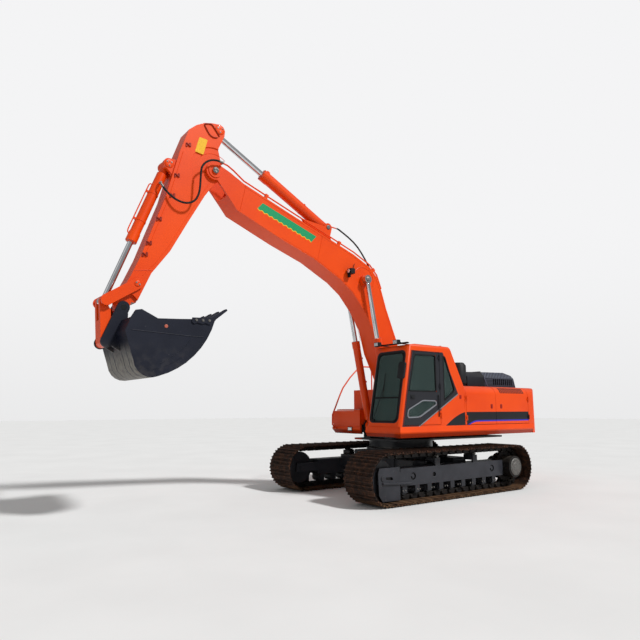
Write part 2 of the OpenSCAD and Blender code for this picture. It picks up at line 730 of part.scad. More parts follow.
tank_split = -700;
tank_front = 150;
module hydraulic_tank() {
    color(paint) {
        block([pump_x + 4, -half_w, sill_z1], [tank_split - 2, -650, body_top - panel_t - 5]);
        mirror([0, 1, 0]) hinges_at(pump_hinge_x, side_hinge_y, panel_hinge_z, 180) hinge_fixed();
    }
}
module fuel_tank() {
    color(paint) {
        block([tank_split + 2, -half_w, sill_z1], [tank_front, -side_y, body_top - 40]);
        for (y = [-1150, -700]) translate([lid_axis[0], y, lid_axis[1]]) {
            for (s = [-1, 1]) {
                translate([0, s * 37, 0]) rotate([90, 0, 0])
                    cylinder(h = knuckle_h, r = hinge_r - 2, center = true);
                block([tank_front - lid_axis[0] - 1, s * 37 - 16, -9], [0, s * 37 + 16, 9]);
            }
            rotate([90, 0, 0]) cylinder(h = 3 * knuckle_h + 8, r = hinge_pin_r, center = true);
        }
    }
}
box_z = 1750;
lid_axis = [tank_front + 20, box_z + 52];

module tool_box() {
    color(paint) difference() {
        block([tank_front + seat_gap, -half_w, sill_z1], [right_front, -side_y, box_z]);
        block([tank_front + 40, lid_y, sill_z1 + 40], [right_front - 40, -side_y - 60, box_z + 10]);
    }
}
lid_y = -half_w + 170;
module toolbox_lid() {
    color(paint) {
        across(lid_y - 10, -side_y) polygon(concat([[tank_front + 12, box_z + 6]],
            arc([right_front - 30, box_z + 6], 30, 0, 90, 6), [[tank_front + 12, box_z + 36]]));
        for (y = [-1150, -700]) translate([lid_axis[0], y, lid_axis[1]]) difference() {
            union() {
                rotate([90, 0, 0]) cylinder(h = knuckle_h, r = hinge_r - 2, center = true);
                block([0, -knuckle_h / 2 + 2, box_z + 34 - lid_axis[1]], [45, knuckle_h / 2 - 2, 8]);
            }
            rotate([90, 0, 0]) cylinder(h = 2 * knuckle_h, r = hinge_pin_r + pin_gap, center = true);
        }
    }
}

rail_r = 18;
// A tube with eight sides swept along points, with a mitred ring at each point
tube_sides = 8;
function tangent(p, i) = unit(unit(p[min(i + 1, len(p) - 1)] - p[i == len(p) - 1 ? i - 1 : i])
    + unit(p[i == 0 ? 1 : i] - p[max(i - 1, 0)]));
function side_of(t) = unit(abs(t[1]) < 0.9 ? cross(t, [0, 1, 0]) : cross(t, [0, 0, 1]));
function ring(c, t, r) = [for (k = [0:tube_sides - 1]) c + r * cos(360 * k / tube_sides) * side_of(t)
    + r * sin(360 * k / tube_sides) * cross(t, side_of(t))];
module tube_run(points, r) {
    n = len(points);
    m = tube_sides;
    polyhedron(points = [for (i = [0:n - 1]) each ring(points[i], tangent(points, i), r)],
        faces = concat([[for (k = [0:m - 1]) k]],
            [for (i = [0:n - 2]) for (k = [0:m - 1])
                [i * m + k, (i + 1) * m + k, (i + 1) * m + (k + 1) % m, i * m + (k + 1) % m]],
            [[for (k = [m - 1:-1:0]) (n - 1) * m + k]]));
}
rail_y = -1350;
front_rail = [[870, 1350], [945, 1430], [940, 1660], [860, 1820], [730, 2090], [610, 2310], [380, 2570],
    [110, 2810], [-60, 2860], [-560, 2860], [-620, 2820], [-640, 2740], [-640, body_top - 40 + seat_gap]];
module hand_rails() {
    color(paint) {
        tube_run([for (p = front_rail) [p[0], rail_y, p[1]]], rail_r);
        for (x = [-340, -10]) translate([x, rail_y, body_top - 40 + seat_gap])
            cylinder(h = 592, r = rail_r - 2);
        block([right_front + seat_gap, rail_y - 30, 1325], [875, rail_y + 30, 1365]);
    }
}

intake_at = [-960, 960];
intake_h = 550;
module intake_stack() {
    color(black) translate([intake_at[0], intake_at[1], body_top + seat_gap]) {
        cylinder(h = 90, r = 150);
        translate([0, 0, 60]) cylinder(h = intake_h - 130, r = 180);
        translate([0, 0, intake_h - 70]) cylinder(h = 70, r1 = 180, r2 = 130);
    }
}

hood_x0 = -3010;
hood_x1 = -1150;
hood_y = 1060;
hood_edge = [120, 150];
hood_skin = 25;
hood_axis = [hood_x0 - 27, body_top + 25];
hood_hinge_y = [-700, 700];
slot_count = 10;
function hood_outline(d) = [[hood_x0 + d, body_top + (d > 0 ? 0 : 6)],
    [hood_x1 - d, body_top + (d > 0 ? 0 : 6)],
    [hood_x1 - d, body_top + hood_h - 60 - d * 0.5], [hood_x1 - 35 - d, body_top + hood_h - 30 - d],
    [-1990, body_top + hood_h - 10 - d], [-2670, body_top + hood_h - d],
        [hood_x0 + 100 + d * 0.7, body_top + hood_h - 70 - d]];
module hood_form(d) {
    intersection() {
        across(d - hood_y, hood_y - d) polygon(hood_outline(d));
        translate([hood_x0 - 50, 0, 0]) rotate([90, 0, 90]) linear_extrude(hood_x1 - hood_x0 + 100)
            polygon([for (s = [[-1, 0], [1, 0], [1, 1], [1, 2], [-1, 2],
                [-1, 1]]) [s[0] * (hood_y - d - (s[1] == 2 ? hood_edge[0] : 0)
                + (s[1] == 0 ? 20 : 0)),
                body_top + (s[1] == 0 ? -10 : s[1] == 1 ? hood_h - hood_edge[1] : hood_h + 10)]]);
    }
}
module engine_hood() {
    color(black) difference() {
        hood_form(0);
        hood_form(hood_skin);
        for (i = [0:slot_count - 1]) {
            x = hood_x0 + 150 + i * 78;
            block([x, -hood_y - 1, body_top + 60], [x + 44, hood_y + 1,
                body_top + hood_h - hood_edge[1] - 20]);
            block([x, -hood_y + hood_edge[0] + 60, body_top + hood_h - 90],
                [x + 44, -60, body_top + hood_h + 10]);
            block([x, 60, body_top + hood_h - 90], [x + 44, hood_y - hood_edge[0] - 60,
                body_top + hood_h + 10]);
        }
    }
    color(black) for (y = hood_hinge_y) translate([hood_axis[0], y, hood_axis[1]]) difference() {
        union() {
            rotate([90, 0, 0]) cylinder(h = knuckle_h, r = hinge_r - 2, center = true);
            block([0, -knuckle_h / 2 + 2, -10], [hood_x0 - hood_axis[0] + 12, knuckle_h / 2 - 2, 10]);
        }
        rotate([90, 0, 0]) cylinder(h = 2 * knuckle_h, r = hinge_pin_r + pin_gap, center = true);
    }
}

// Side outline of the boom, from the foot along the top to the tip and back along the belly
boom_upper = [[290, 3340], [600, 4070], [730, 4450], [860, 4760], [1070, 4970], [1540, 5190],
    [2370, 5480], [3300, 5800], [4350, 6170], [4640, 6320]];
boom_lower = [[4620, 5770], [4480, 5600], [3450, 5200], [2650, 4930], [1940, 4580], [1600, 4340],
    [1290, 3990], [1030, 3600], [870, 3040]];
module boom_outline() {
    polygon(concat([boom_foot + 190 * [cos(150), sin(150)]], boom_upper,
        [boom_tip + 170 * [cos(110), sin(110)], boom_tip, boom_tip + 170 * [cos(250), sin(250)]],
            boom_lower,
        [boom_foot + 190 * [cos(-25), sin(-25)], boom_foot]));
    translate(boom_foot) circle(190);
    translate(boom_tip) circle(170);
}
fork_t = 50;
fork_r = 500;
module boom() {
    color(paint) difference() {
        union() {
            across(-boom_y, boom_y) boom_outline();
            both_sides() {
                disc(lift_eye, 110, boom_y - 10, lift_y - lift_eye_w / 2 - run_gap);
                disc(boom_foot, pin_r + 10, boom_y - 10, foot_plate_y1 + 12);
                disc(boom_tip, 130, boom_y - 10, boom_y + 18);
                across(crowd_r + 8, crowd_r + 48) {
                    strap(crowd_foot, 95, crowd_foot + [150, -330], 160);
                    polygon([crowd_foot, crowd_foot + [700, 60], crowd_foot + [500, -200],
                        crowd_foot + [-100, -380]]);
                }
            }
            disc(crowd_foot, pin_r - 4, -crowd_r - 60, crowd_r + 60);
            for (s = [-1, 1]) for (i = clamp_at) clamp_place(i, s)
                block([-30, -24, -110], [30, 24, -26 - seat_gap]);
            block([930, 106, 4800], [1000, 160, bridge_hose[len(bridge_hose) - 1][2] - seat_gap]);
        }
        across(-boom_y + fork_t, boom_y - fork_t) translate(boom_tip) circle(fork_r, $fn = 96);
        disc(boom_tip, pin_r + pin_gap + 10, -boom_y - 20, boom_y + 20);
    }
}

// Points of the short hose from the arm cylinder's pipe down to the boom, and of the left pipe's free end
bridge_hose = [[1866, 30, 5790], [1840, 33, 5786], [1800, 38, 5768], [1700, 55, 5710], [1570, 75, 5630],
    [1440, 92, 5540], [1320, 108, 5430],
    [1220, 118, 5310], [1130, 125, 5190], [1050, 130, 5070], [1000, 132, 4990], [972, 133, 4955],
        [972, 133, 4930]];
pipe_end = [[4560, 200, 6400], [4700, 225, 6455], [4800, 245, 6465], [4850, 262, 6440]];
module boom_pipes() {
    color(paint) {
        for (s = [-1, 1]) {
            pts = [for (i = [2:len(boom_upper) - 2]) boom_upper[i] + [-25, 75]];
            flat_run = [for (p = pts) [p[0], s * (boom_y - 45), p[1]]];
            tube_run(s > 0 ? concat(flat_run, pipe_end) : flat_run, 16);
            for (i = clamp_at) clamp_place(i, s) block([-35, -28, -26], [35, 28, 26]);
        }
        translate([pipe_end[3][0], pipe_end[3][1] - 10, pipe_end[3][2]]) rotate([-90, 0, 0])
            cylinder(h = 40, r = 22);
    }
    color(black) tube_run(bridge_hose, 18);
}
// Pipe clamps stand on pads of the boom, in the middle of every second stretch of the pipes
clamp_at = [3, 5, 7];
module clamp_place(i, s) {
    a = boom_upper[i] + [-25, 75];
    b = boom_upper[i + 1] + [-25, 75];
    translate([(a[0] + b[0]) / 2, s * (boom_y - 45), (a[1] + b[1]) / 2]) rotate([0, -heading(a, b), 0])
        children();
}

module boom_lamp() {
    color(black) {
        block([1690, boom_y + seat_gap, 4650], [1740, boom_y + 60, 4712]);
        block([1660, boom_y + 30, 4711], [1770, boom_y + 170, 4825]);
    }
}

// How far a cylinder's head stands out from its barrel
head_out = 8;
lift_len = norm(lift_eye - lift_foot);
lift_barrel = 1930;
module lift_barrels() {
    color(paint) both_sides() difference() {
        union() {
            along(lift_foot, lift_eye, lift_y) {
                bar(lift_r, 150, lift_barrel);
                bar(lift_r + head_out, lift_barrel - 130, lift_barrel - 10);
                bar(lift_eye_w / 2 - 1, 60, 160);
            }
            disc(lift_foot, 95, lift_y - lift_eye_w / 2, lift_y + lift_eye_w / 2);
        }
        disc(lift_foot, pin_r + pin_gap, lift_y - 100, lift_y + 100);
        along(lift_foot, lift_eye, lift_y) bar(lift_rod_r + pin_gap, 250, lift_barrel + 1);
    }
}
module lift_rods() {
    color(steel) both_sides() {
        along(lift_foot, lift_eye, lift_y) bar(lift_rod_r, lift_len - 2100, lift_len - 80);
        disc(lift_eye, 95, lift_y - lift_eye_w / 2, lift_y + lift_eye_w / 2);
    }
}

crowd_len = norm(crowd_eye - crowd_foot);
crowd_pipe = [[3660, 0, 6655], [2900, 0, 6247], [2180, 0, 5861], [2050, 10, 5810], [1960, 25, 5797],
    [1887, 30, 5790]];
crowd_barrel_len = 1800;
module crowd_barrel() {
    color(paint) difference() {
        union() {
            along(crowd_foot, crowd_eye, 0) {
                bar(crowd_r, 70, crowd_barrel_len);
                bar(crowd_r + head_out, crowd_barrel_len - 150, crowd_barrel_len - 10);
                bar(crowd_r + head_out / 2, 660, 700);
                block([crowd_barrel_len - 110, -30, crowd_r], [crowd_barrel_len - 40, 30, crowd_r + 45]);
                block([660, -22, crowd_r - 10], [700, 22, crowd_r + 40]);
            }
            tube_run(crowd_pipe, 14);
            disc(crowd_foot, 95, -crowd_r, crowd_r);
        }
        disc(crowd_foot, pin_r - 4 + pin_gap, -200, 200);
        along(crowd_foot, crowd_eye, 0) bar(crowd_rod_r + pin_gap, 240, crowd_barrel_len + 1);
    }
}
module crowd_rod() {
    color(steel) {
        along(crowd_foot, crowd_eye, 0) bar(crowd_rod_r, crowd_len - 1950, crowd_len - 80);
        disc(crowd_eye, 95, -60, 60);
    }
}

nose_r = 95;
nose_root = [6490, 3680];
// Side outline of the arm, from the inner side over the top down the outer side
arm_inner = [[6320, 3580], [6090, 4120], [5770, 4570], [5450, 5180], [5140, 5750], [4960, 6010]];
arm_top = [[4790, 6300], [4840, 6560], [4890, 6760], [4770, 7040], [4760, 7160], [4860, 7262], [5040, 7240],
    [5190, 7200], [5360, 7100], [5500, 6970]];
arm_outer = [[5660, 6500], [5900, 5540], [6290, 4390], [6450, 4010], [6650, 3600]];
module arm() {
    color(paint) difference() {
        union() {
            difference() {
                across(-arm_y, arm_y) polygon(concat(arm_inner, arm_top, arm_outer));
                for (s = [-1, 1]) across(s * 220 - 40, s * 220 + 40) translate(boom_tip)
                    circle(fork_r - 20, $fn = 96);
                for (s = [-1, 1]) across(s * (nose_y + 100) - 100, s * (nose_y + 100) + 100)
                    translate(bucket_pin) circle(264, $fn = 96);
            }
            disc(boom_tip, 190, -boom_y + fork_t + run_gap, boom_y - fork_t - run_gap);
            disc(boom_tip, pin_r + 10, -boom_y - 40, boom_y + 40);
            across(-nose_y, nose_y) strap(bucket_pin, nose_r, nose_root, nose_r + 30);
            disc(bucket_pin, pin_r, -ear_out - 1, ear_out + 1);
            disc(rocker_pin, pin_r, -rocker_out - 12, rocker_out + 12);
            across(-160, -curl_r + 14) strap(curl_foot, 100, curl_foot - [150, 60], 160);
            across(curl_r - 14, 160) strap(curl_foot, 100, curl_foot - [150, 60], 160);
            disc(curl_foot, pin_r - 4, -160, 160);
        }
        across(-67, 67) translate(crowd_eye) circle(400);
        across(-curl_r + 14, curl_r - 14) difference() {
            translate(curl_foot) circle(190);
            translate(curl_foot) circle(pin_r - 4);
        }
    }
}

// Hose from the left boom pipe to the bucket cylinder, with an elbow at each end
hose_r = 19;
hose_route = [[4875, 330, 6437], [4930, 338, 6440], [4985, 346, 6436], [5050, 354, 6424], [5114, 360, 6402],
    [5180, 366, 6362], [5238, 370, 6308], [5282, 373, 6245], [5306, 375, 6170], [5313, 375, 6070],
        [5316, 375, 5968],
    [5319, 375, 5860], [5328, 375, 5758], [5350, 373, 5660], [5388, 369, 5578], [5438, 364, 5522],
        [5500, 357, 5486],
    [5570, 348, 5468], [5645, 336, 5472], [5722, 318, 5495], [5792, 296, 5536], [5850, 272, 5588],
        [5904, 246, 5650],
    [5948, 222, 5712], [5982, 205, 5770]];
module arm_hose() {
    port = curl_foot + hose_port * unit(rocker_end - curl_foot);
    last = pipe_end[len(pipe_end) - 1];
    color(black) {
        tube_run(hose_route, hose_r);
        translate([last[0], last[1] + 30 + seat_gap, last[2]]) rotate([-90, 0, 0]) cylinder(h = 68, r = 23);
        translate([port[0], port_y + seat_gap, port[1]]) rotate([-90, 0, 0]) cylinder(h = 80, r = 23);
    }
}

curl_len = norm(rocker_end - curl_foot);
curl_barrel_len = 1620;
curl_eye_w = 100;
hose_port = 440;
port_y = 145;
module curl_barrel() {
    color(paint) difference() {
        union() {
            along(curl_foot, rocker_end, 0) {
                bar(curl_r, 200, curl_barrel_len);
                bar(curl_r + head_out, curl_barrel_len - 150, curl_barrel_len - 10);
                translate([hose_port, 0, 0]) rotate([-90, 0, 0]) cylinder(h = port_y, r = 24);
                bar(60, 60, 210);
            }
            disc(curl_foot, 95, -curl_r + 21, curl_r - 21);
        }
        disc(curl_foot, pin_r - 4 + pin_gap, -200, 200);
        along(curl_foot, rocker_end, 0) bar(curl_rod_r + pin_gap, 250, curl_barrel_len + 1);
    }
}
module curl_rod() {
    color(steel) {
        along(curl_foot, rocker_end, 0) bar(curl_rod_r, curl_len - 1700, curl_len - 70);
        disc(rocker_end, 85, -curl_eye_w / 2, curl_eye_w / 2);
    }
}

module rocker() {
    color(paint) both_sides() difference() {
        across(rocker_in, rocker_out) strap(rocker_pin, 95, rocker_end, 95);
        disc(rocker_pin, pin_r + pin_gap, rocker_in - 1, rocker_out + 1);
    }
}

// Place of an arm point against the resting link when the bucket is curled in by bucket_in degrees
bucket_in = 20;
link_in = 7.56;
function by_link(p) = link_end + turn(p - bucket_pin - turn(link_end - bucket_pin, -bucket_in), link_in);
module push_link() {
    color(paint) difference() {
        union() {
            across(-nose_y, nose_y) difference() {
                strap(rocker_end, 87, link_end, 85);
                strap(by_link(bucket_pin), nose_r + run_gap, by_link(nose_root), nose_r + 30 + run_gap);
            }
            disc(rocker_end, 52, -arm_y, arm_y);
        }
        across(-curl_eye_w / 2 - run_gap, curl_eye_w / 2 + run_gap) translate(rocker_end) circle(330);
        disc(link_end, pin_r + pin_gap, -300, 300);
    }
}

lip = [5090, 3345];
bucket_back = concat([[6560, 3250], [6640, 3020]], arc([6190, 2600], 300, -8, -95, 5),
    arc([6480, 3690], 1424, -106, -165, 8));
module bucket() {
    inner = [for (i = [0:len(bucket_back) - 1]) bucket_back[i] + bucket_t * inward(i)];
    color("MidnightBlue") {
        across(-bucket_w / 2, bucket_w / 2) polygon(concat(bucket_back, flip(inner)));
        for (s = [-1, 1]) across(s * (bucket_w / 2 - bucket_t / 2) - bucket_t / 2,
            s * (bucket_w / 2 - bucket_t / 2) + bucket_t / 2)
            polygon(concat(bucket_back, [lip, [5740, 3290], [6120, 3265], [6390, 3390], [6490, 3370]]));
        both_sides() difference() {
            across(ear_in, ear_out) {
                strap(bucket_pin, 104, link_end, 100);
                polygon([[6560, 3480], [6620, 3000], link_end + [-60, -60], [6470, 2700], [6450, 3380]]);
            }
            across(ear_in - 1, ear_out + 1) polygon([for (i = [0:len(bucket_back) - 1])
                bucket_back[i] + (bucket_t - 10) * inward(i)]);
            disc(bucket_pin, pin_r + pin_gap, 0, 400);
        }
        both_sides() {
            disc(link_end, pin_r, 100, ear_in + 5);
            across(bucket_w / 2 - 1, bucket_w / 2 + 22)
                polygon([lip + [60, 12], lip + [440, -12], lip + [450, -90],
                lip + [400, -118], lip + [350, -92], lip + [260, -110], lip + [200, -90],
                    lip + [110, -112]]);
            across(bucket_w / 2 - 1, bucket_w / 2 + 10)
                polygon(concat([for (i = [4:11]) bucket_back[i]],
                    flip([for (i = [4:11]) bucket_back[i] + 110 * inward(i)])));
        }
    }
}
function inward(i) = let (a = bucket_back[max(i - 1, 0)], b = bucket_back[min(i + 1, len(bucket_back) - 1)])
    turn(unit(b - a), -90);

module bucket_teeth() {
    pitch = (bucket_w - 160) / (tooth_count - 1);
    last = len(bucket_back) - 1;
    edge = bucket_back[last];
    t = unit(edge - bucket_back[last - 1]);
    n = inward(last);
    color(dark) for (i = [0:tooth_count - 1]) {
        y = -bucket_w / 2 + 80 + i * pitch;
        across(y - 50, y + 50) polygon([edge + seat_gap * t,
            edge + seat_gap * t + (bucket_t + seat_gap) * n,
            edge - 150 * t + (bucket_t + seat_gap) * n, edge - 150 * t + 55 * n, edge + 20 * t + 75 * n,
            [4870, 3555], [4850, 3525], edge + 30 * t - 24 * n, edge + 5 * t - 22 * n]);
    }
}

carbody();
track_frame();  // track_frame_left
mirror([0, 1, 0]) track_frame();  // track_frame_right
track();  // track_left
mirror([0, 1, 0]) track();  // track_right
idlers();
sprockets();
track_rollers();
slew_ring();
slew_deck();
cab_shell();
cab_glass();
operator_seat();
cab_lamps();
side_mirror();
counterweight();
body_shell();
engine_block();
hydraulic_tank();
fuel_tank();
tool_box();
hand_rails();
intake_stack();
cab_door();
door_glass();
side_door_front();
side_door_rear();
pump_door();
engine_hood();
toolbox_lid();
boom();
boom_pipes();
boom_lamp();
lift_barrels();
lift_rods();
crowd_barrel();
crowd_rod();
arm();
arm_hose();
curl_barrel();
curl_rod();
rocker();
push_link();
bucket();
bucket_teeth();
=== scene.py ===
"""A crawler excavator in studio light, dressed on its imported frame. Lengths are in metres."""

import json
import math

import bmesh
import bpy
from mathutils import Matrix, Vector


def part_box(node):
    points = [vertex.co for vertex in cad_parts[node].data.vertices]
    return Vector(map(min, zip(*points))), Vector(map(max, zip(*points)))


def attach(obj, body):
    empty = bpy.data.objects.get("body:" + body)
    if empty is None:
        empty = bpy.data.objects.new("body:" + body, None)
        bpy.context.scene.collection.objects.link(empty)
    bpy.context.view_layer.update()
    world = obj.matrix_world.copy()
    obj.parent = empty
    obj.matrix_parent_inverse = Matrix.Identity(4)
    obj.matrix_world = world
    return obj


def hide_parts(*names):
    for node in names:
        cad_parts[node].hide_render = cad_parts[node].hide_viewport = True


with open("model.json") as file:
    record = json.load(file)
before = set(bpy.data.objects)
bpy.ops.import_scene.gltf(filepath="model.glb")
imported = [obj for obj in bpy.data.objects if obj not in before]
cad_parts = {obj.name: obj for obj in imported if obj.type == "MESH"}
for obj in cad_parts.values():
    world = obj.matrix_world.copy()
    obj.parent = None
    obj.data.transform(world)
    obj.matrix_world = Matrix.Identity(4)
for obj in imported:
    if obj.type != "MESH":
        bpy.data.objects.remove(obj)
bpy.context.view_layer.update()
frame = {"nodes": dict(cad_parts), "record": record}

# Camera that the photograph was matched with
EYE = Vector((9.38, 9.54, 1.80))
YAW, PITCH, ROLL = math.radians(-126.53), math.radians(8.99), math.radians(-0.10)
LENS = 31.57

# Pin centres in side view, x and z
BOOM_FOOT = (0.10, 1.95)
BOOM_TIP = (4.97, 6.27)
LIFT_FOOT = (0.62, 1.42)
LIFT_EYE = (1.28, 4.64)
CROWD_FOOT = (2.20, 5.72)
CROWD_EYE = (4.87, 7.15)
BUCKET_PIN = (6.53, 3.48)
ROCKER_PIN = (6.33, 3.90)
ROCKER_END = (6.82, 3.57)
CURL_FOOT = (5.84, 6.22)

# Half widths of the front's parts, and the lift cylinders' distance from the middle
BOOM_Y = 0.24
ARM_Y = 0.20
BUCKET_Y = 0.70
LIFT_Y = 0.37

# Tracks: the wheels' height and distance from the middle, and the shoes with the radius that they turn on
TRACK_R = 0.496
WHEEL_X = 1.979
TRACK_Y = 1.34
SHOE_W = 0.80
SHOE_COUNT = 48
SHOE_SEAT_R = 0.446
SLEW_BOLTS_R = 0.565

# House. FRONT_FOOT is the foot of the cab's front face in side view, and RAKE the angle that it leans back.
HALF_W = 1.48
SILL_TOP = 1.445
BODY_TOP = 2.30
BODY_ROUND = 0.20
HOOD_SIDE = 1.06
HOOD_FOOT = 2.325
INTAKE = (-0.96, 0.96)
CAB_Y0 = 0.50
CAB_TOP = 3.13
CAB_FLOOR = SILL_TOP + 0.0603
SEAT_Y = 0.99
FRONT_FOOT = (1.465, 1.505)
RAKE = math.atan2(0.302, 1.535)

# Edges at least this sharp are shown and rounded
SHARP = math.radians(38)


# Shader trees


def rgb(hexed, shade=1.0):
    """Linear colour with alpha from a six-digit sRGB one, darkened by the shade."""
    channels = [int(hexed[i:i + 2], 16) / 255 for i in (0, 2, 4)]
    return [shade * (c / 12.92 if c <= 0.04045 else ((c + 0.055) / 1.055) ** 2.4) for c in channels] + [1.0]


def arithmetic(operation, swapped=False):
    """A method that joins a Shade and another value by a Math node."""
    def method(self, other):
        return self.math(operation, other, self) if swapped else self.math(operation, self, other)
    return method


class Shade:
    """An output in a node tree. Arithmetic on it adds Math nodes."""

    def __init__(self, tree, socket=None):
        self.tree = tree
        self.socket = socket

    def node(self, kind, settings=None, sockets=None, out=0):
        """A node of that kind: its settings, then its sockets, each a value, a link or a hex colour."""
        made = self.tree.nodes.new(kind)
        for name, value in (settings or {}).items():
            setattr(made, name, value)
        for name, value in (sockets or {}).items():
            if isinstance(value, Shade):
                self.tree.links.new(value.socket, made.inputs[name])
            else:
                made.inputs[name].default_value = rgb(value) if isinstance(value, str) else value
        return Shade(self.tree, made.outputs[out] if made.outputs else None)

    def math(self, operation, *values):
        return self.node("ShaderNodeMath", {"operation": operation}, dict(enumerate(values)))

    __add__, __radd__ = arithmetic("ADD"), arithmetic("ADD", swapped=True)
    __sub__, __rsub__ = arithmetic("SUBTRACT"), arithmetic("SUBTRACT", swapped=True)
    __mul__, __rmul__ = arithmetic("MULTIPLY"), arithmetic("MULTIPLY", swapped=True)
    __truediv__, __pow__ = arithmetic("DIVIDE"), arithmetic("POWER")

    def __abs__(self):
        return self.math("ABSOLUTE", self)

    def sine(self):
        return self.math("SINE", self)

    def over_zero(self):
        """Itself where it is positive, and elsewhere 0."""
        return self.math("MAXIMUM", self, 0.0)

    def above(self, edge, soft=0.002):
        """0 below the edge and 1 above it, with a soft change at it."""
        return self.node("ShaderNodeMapRange", {"interpolation_type": "SMOOTHSTEP"},
                         {0: self, 1: edge - soft, 2: edge + soft, 3: 0.0, 4: 1.0})

    def below(self, edge, soft=0.002):
        return 1.0 - self.above(edge, soft)

    def within(self, low, high, soft=0.002):
        return self.above(low, soft) * self.below(high, soft)

    def mix(self, low, high):
        """The colour low where this is 0 and high where it is 1."""
        return self.node("ShaderNodeMix", {"data_type": "RGBA"}, {0: self, 6: low, 7: high}, out=2)


class Finish:
    """A material in the making, with its place split into x, y and z and its noises at hand."""

    def __init__(self, name):
        self.material = bpy.data.materials.new(name)
        self.material.use_nodes = True
        self.material.node_tree.nodes.clear()
        self.node = Shade(self.material.node_tree).node
        self.at = self.node("ShaderNodeTexCoord", out="Object")
        self.x, self.y, self.z = (self.part(self.at, i) for i in range(3))

    def part(self, vector, index):
        """One number of a vector, its x, y or z."""
        return self.node("ShaderNodeSeparateXYZ", sockets={0: vector}, out=index)

    def noise(self, scale, detail=4.0, stretch=None):
        """Fractal noise from 0 to 1 with that many features in a metre; stretch scales the axes first."""
        where = self.at
        if stretch:
            where = self.node("ShaderNodeMapping", sockets={"Vector": self.at, "Scale": stretch})
        return self.node("ShaderNodeTexNoise", sockets={"Vector": where, "Scale": scale, "Detail": detail})

    def facing_up(self):
        return self.part(self.node("ShaderNodeNewGeometry", out="Normal"), 2)

    def open_air(self, reach):
        """1 in open places, towards 0 in corners and gaps."""
        return self.node("ShaderNodeAmbientOcclusion", {"samples": 4}, {"Distance": reach}, out="AO")

    def end(self, base, roughness, metallic=0.0, coat=0.0, bumps=()):
        """The material, from its colour, gloss and (height, depth in metres) reliefs."""
        values = {"Base Color": base, "Roughness": roughness, "Metallic": metallic, "Coat Weight": coat,
                  "Specular IOR Level": 0.22}
        for height, depth in bumps:
            relief = {"Height": height, "Distance": depth}
            if "Normal" in values:
                relief["Normal"] = values["Normal"]
            values["Normal"] = self.node("ShaderNodeBump", sockets=relief)
        return self.surface(self.node("ShaderNodeBsdfPrincipled", sockets=values))

    def surface(self, shader):
        self.node("ShaderNodeOutputMaterial", sockets={"Surface": shader})
        return self.material


BLACK = "17181C"
DUST = "94897C"


def orange_over(shop, marks=()):
    """Orange enamel, a little faded and dusty; marks are (mask, colour) pairs painted over it."""
    base = shop.noise(0.9).above(0.55, 0.2).mix("E84A06", "DE4206")
    for mask, color in marks:
        base = mask.mix(base, color)
    dust = shop.facing_up().above(0.7, 0.3) * shop.noise(5.0, 5.0).above(0.55, 0.25) * 0.16
    gloss = 0.34 + 0.08 * shop.noise(7.0) + 0.4 * dust
    return shop.end(dust.mix(base, DUST), gloss, coat=0.12,
                    bumps=[(shop.noise(300.0, 2.0), 0.00004), (shop.noise(2.2, 2.0), 0.0012)])


def orange_paint():
    return orange_over(Finish("orange_paint"))


def body_paint():
    """Orange with the black side band and its blue line, which drops at the front."""
    shop = Finish("body_paint")
    bend = ((shop.x + 0.95) / 0.35).over_zero()
    lift = shop.z - (1.53 - 0.09 * bend ** 2.0)
    band = abs(shop.y).above(1.40) * shop.x.within(-2.856, -0.566) * shop.z.below(1.727)
    line = band * lift.within(-0.015, 0.016)
    return orange_over(shop, [(band * lift.above(0.016), BLACK), (line, "1B2CB0")])


def dark_paint(name, hexed, coat=0.15):
    """Dark enamel with light dust on top and scuffs that catch the light."""
    shop = Finish(name)
    base = shop.noise(3.0, 6.0).above(0.55, 0.3).mix(hexed, rgb(hexed, 0.72))
    dust = shop.facing_up().above(0.6, 0.4) * shop.noise(6.0, 6.0).above(0.5, 0.3) * 0.35
    scuffs = shop.noise(26.0, 8.0).above(0.69, 0.03) * 0.35
    base = scuffs.mix(dust.mix(base, DUST), "77736E")
    return shop.end(base, 0.38 + 0.25 * shop.noise(9.0) + 0.3 * dust, coat=coat,
                    bumps=[(shop.noise(180.0, 3.0), 0.00012), (shop.noise(3.0, 2.0), 0.001)])


def rusty_steel():
    """Track shoes: brown rust with earth in the corners and on the lower ones, and painted shade in the
    gaps.
    """
    shop = Finish("rusty_steel")
    rust = shop.noise(9.0, 8.0).above(0.55, 0.2).mix("2C1E18", "5C3B28")
    rust = shop.noise(45.0, 6.0).above(0.55, 0.12).mix(rust, "1F1815")
    earth = (1.0 - shop.open_air(0.06)).above(0.45, 0.3) * shop.noise(12.0, 5.0).above(0.5, 0.25)
    rust = (earth * 0.45).mix(rust, "4A3C31")
    rust = (shop.z.below(0.10, 0.06) * shop.noise(7.0, 6.0).above(0.45, 0.2) * 0.45).mix(rust, "8C6B4C")
    # Painted shade: near-black laid in gaps and hollows, where little light reaches.
    rust = ((1.0 - shop.open_air(0.07)).above(0.38, 0.3) * 0.75).mix(rust, "120D0B")
    return shop.end(rust, 0.62 + 0.25 * shop.noise(30.0), metallic=0.25,
                    bumps=[(shop.noise(120.0, 8.0), 0.0012), (shop.noise(20.0, 4.0), 0.002)])


def speckled(name, tones, spots, gloss, grain, metallic=0.0):
    """Two tones in soft spots.

    Spots are (scale, detail, edge, softness), the gloss is (least roughness, spread, scale, detail)
    and the grain is (scale, detail, depth in metres).
    """
    shop = Finish(name)
    scale, detail, edge, soft = spots
    low, spread, gloss_scale, gloss_detail = gloss
    grain_scale, grain_detail, depth = grain
    return shop.end(shop.noise(scale, detail).above(edge, soft).mix(*tones),
                    low + spread * shop.noise(gloss_scale, gloss_detail), metallic=metallic,
                    bumps=[(shop.noise(grain_scale, grain_detail), depth)])


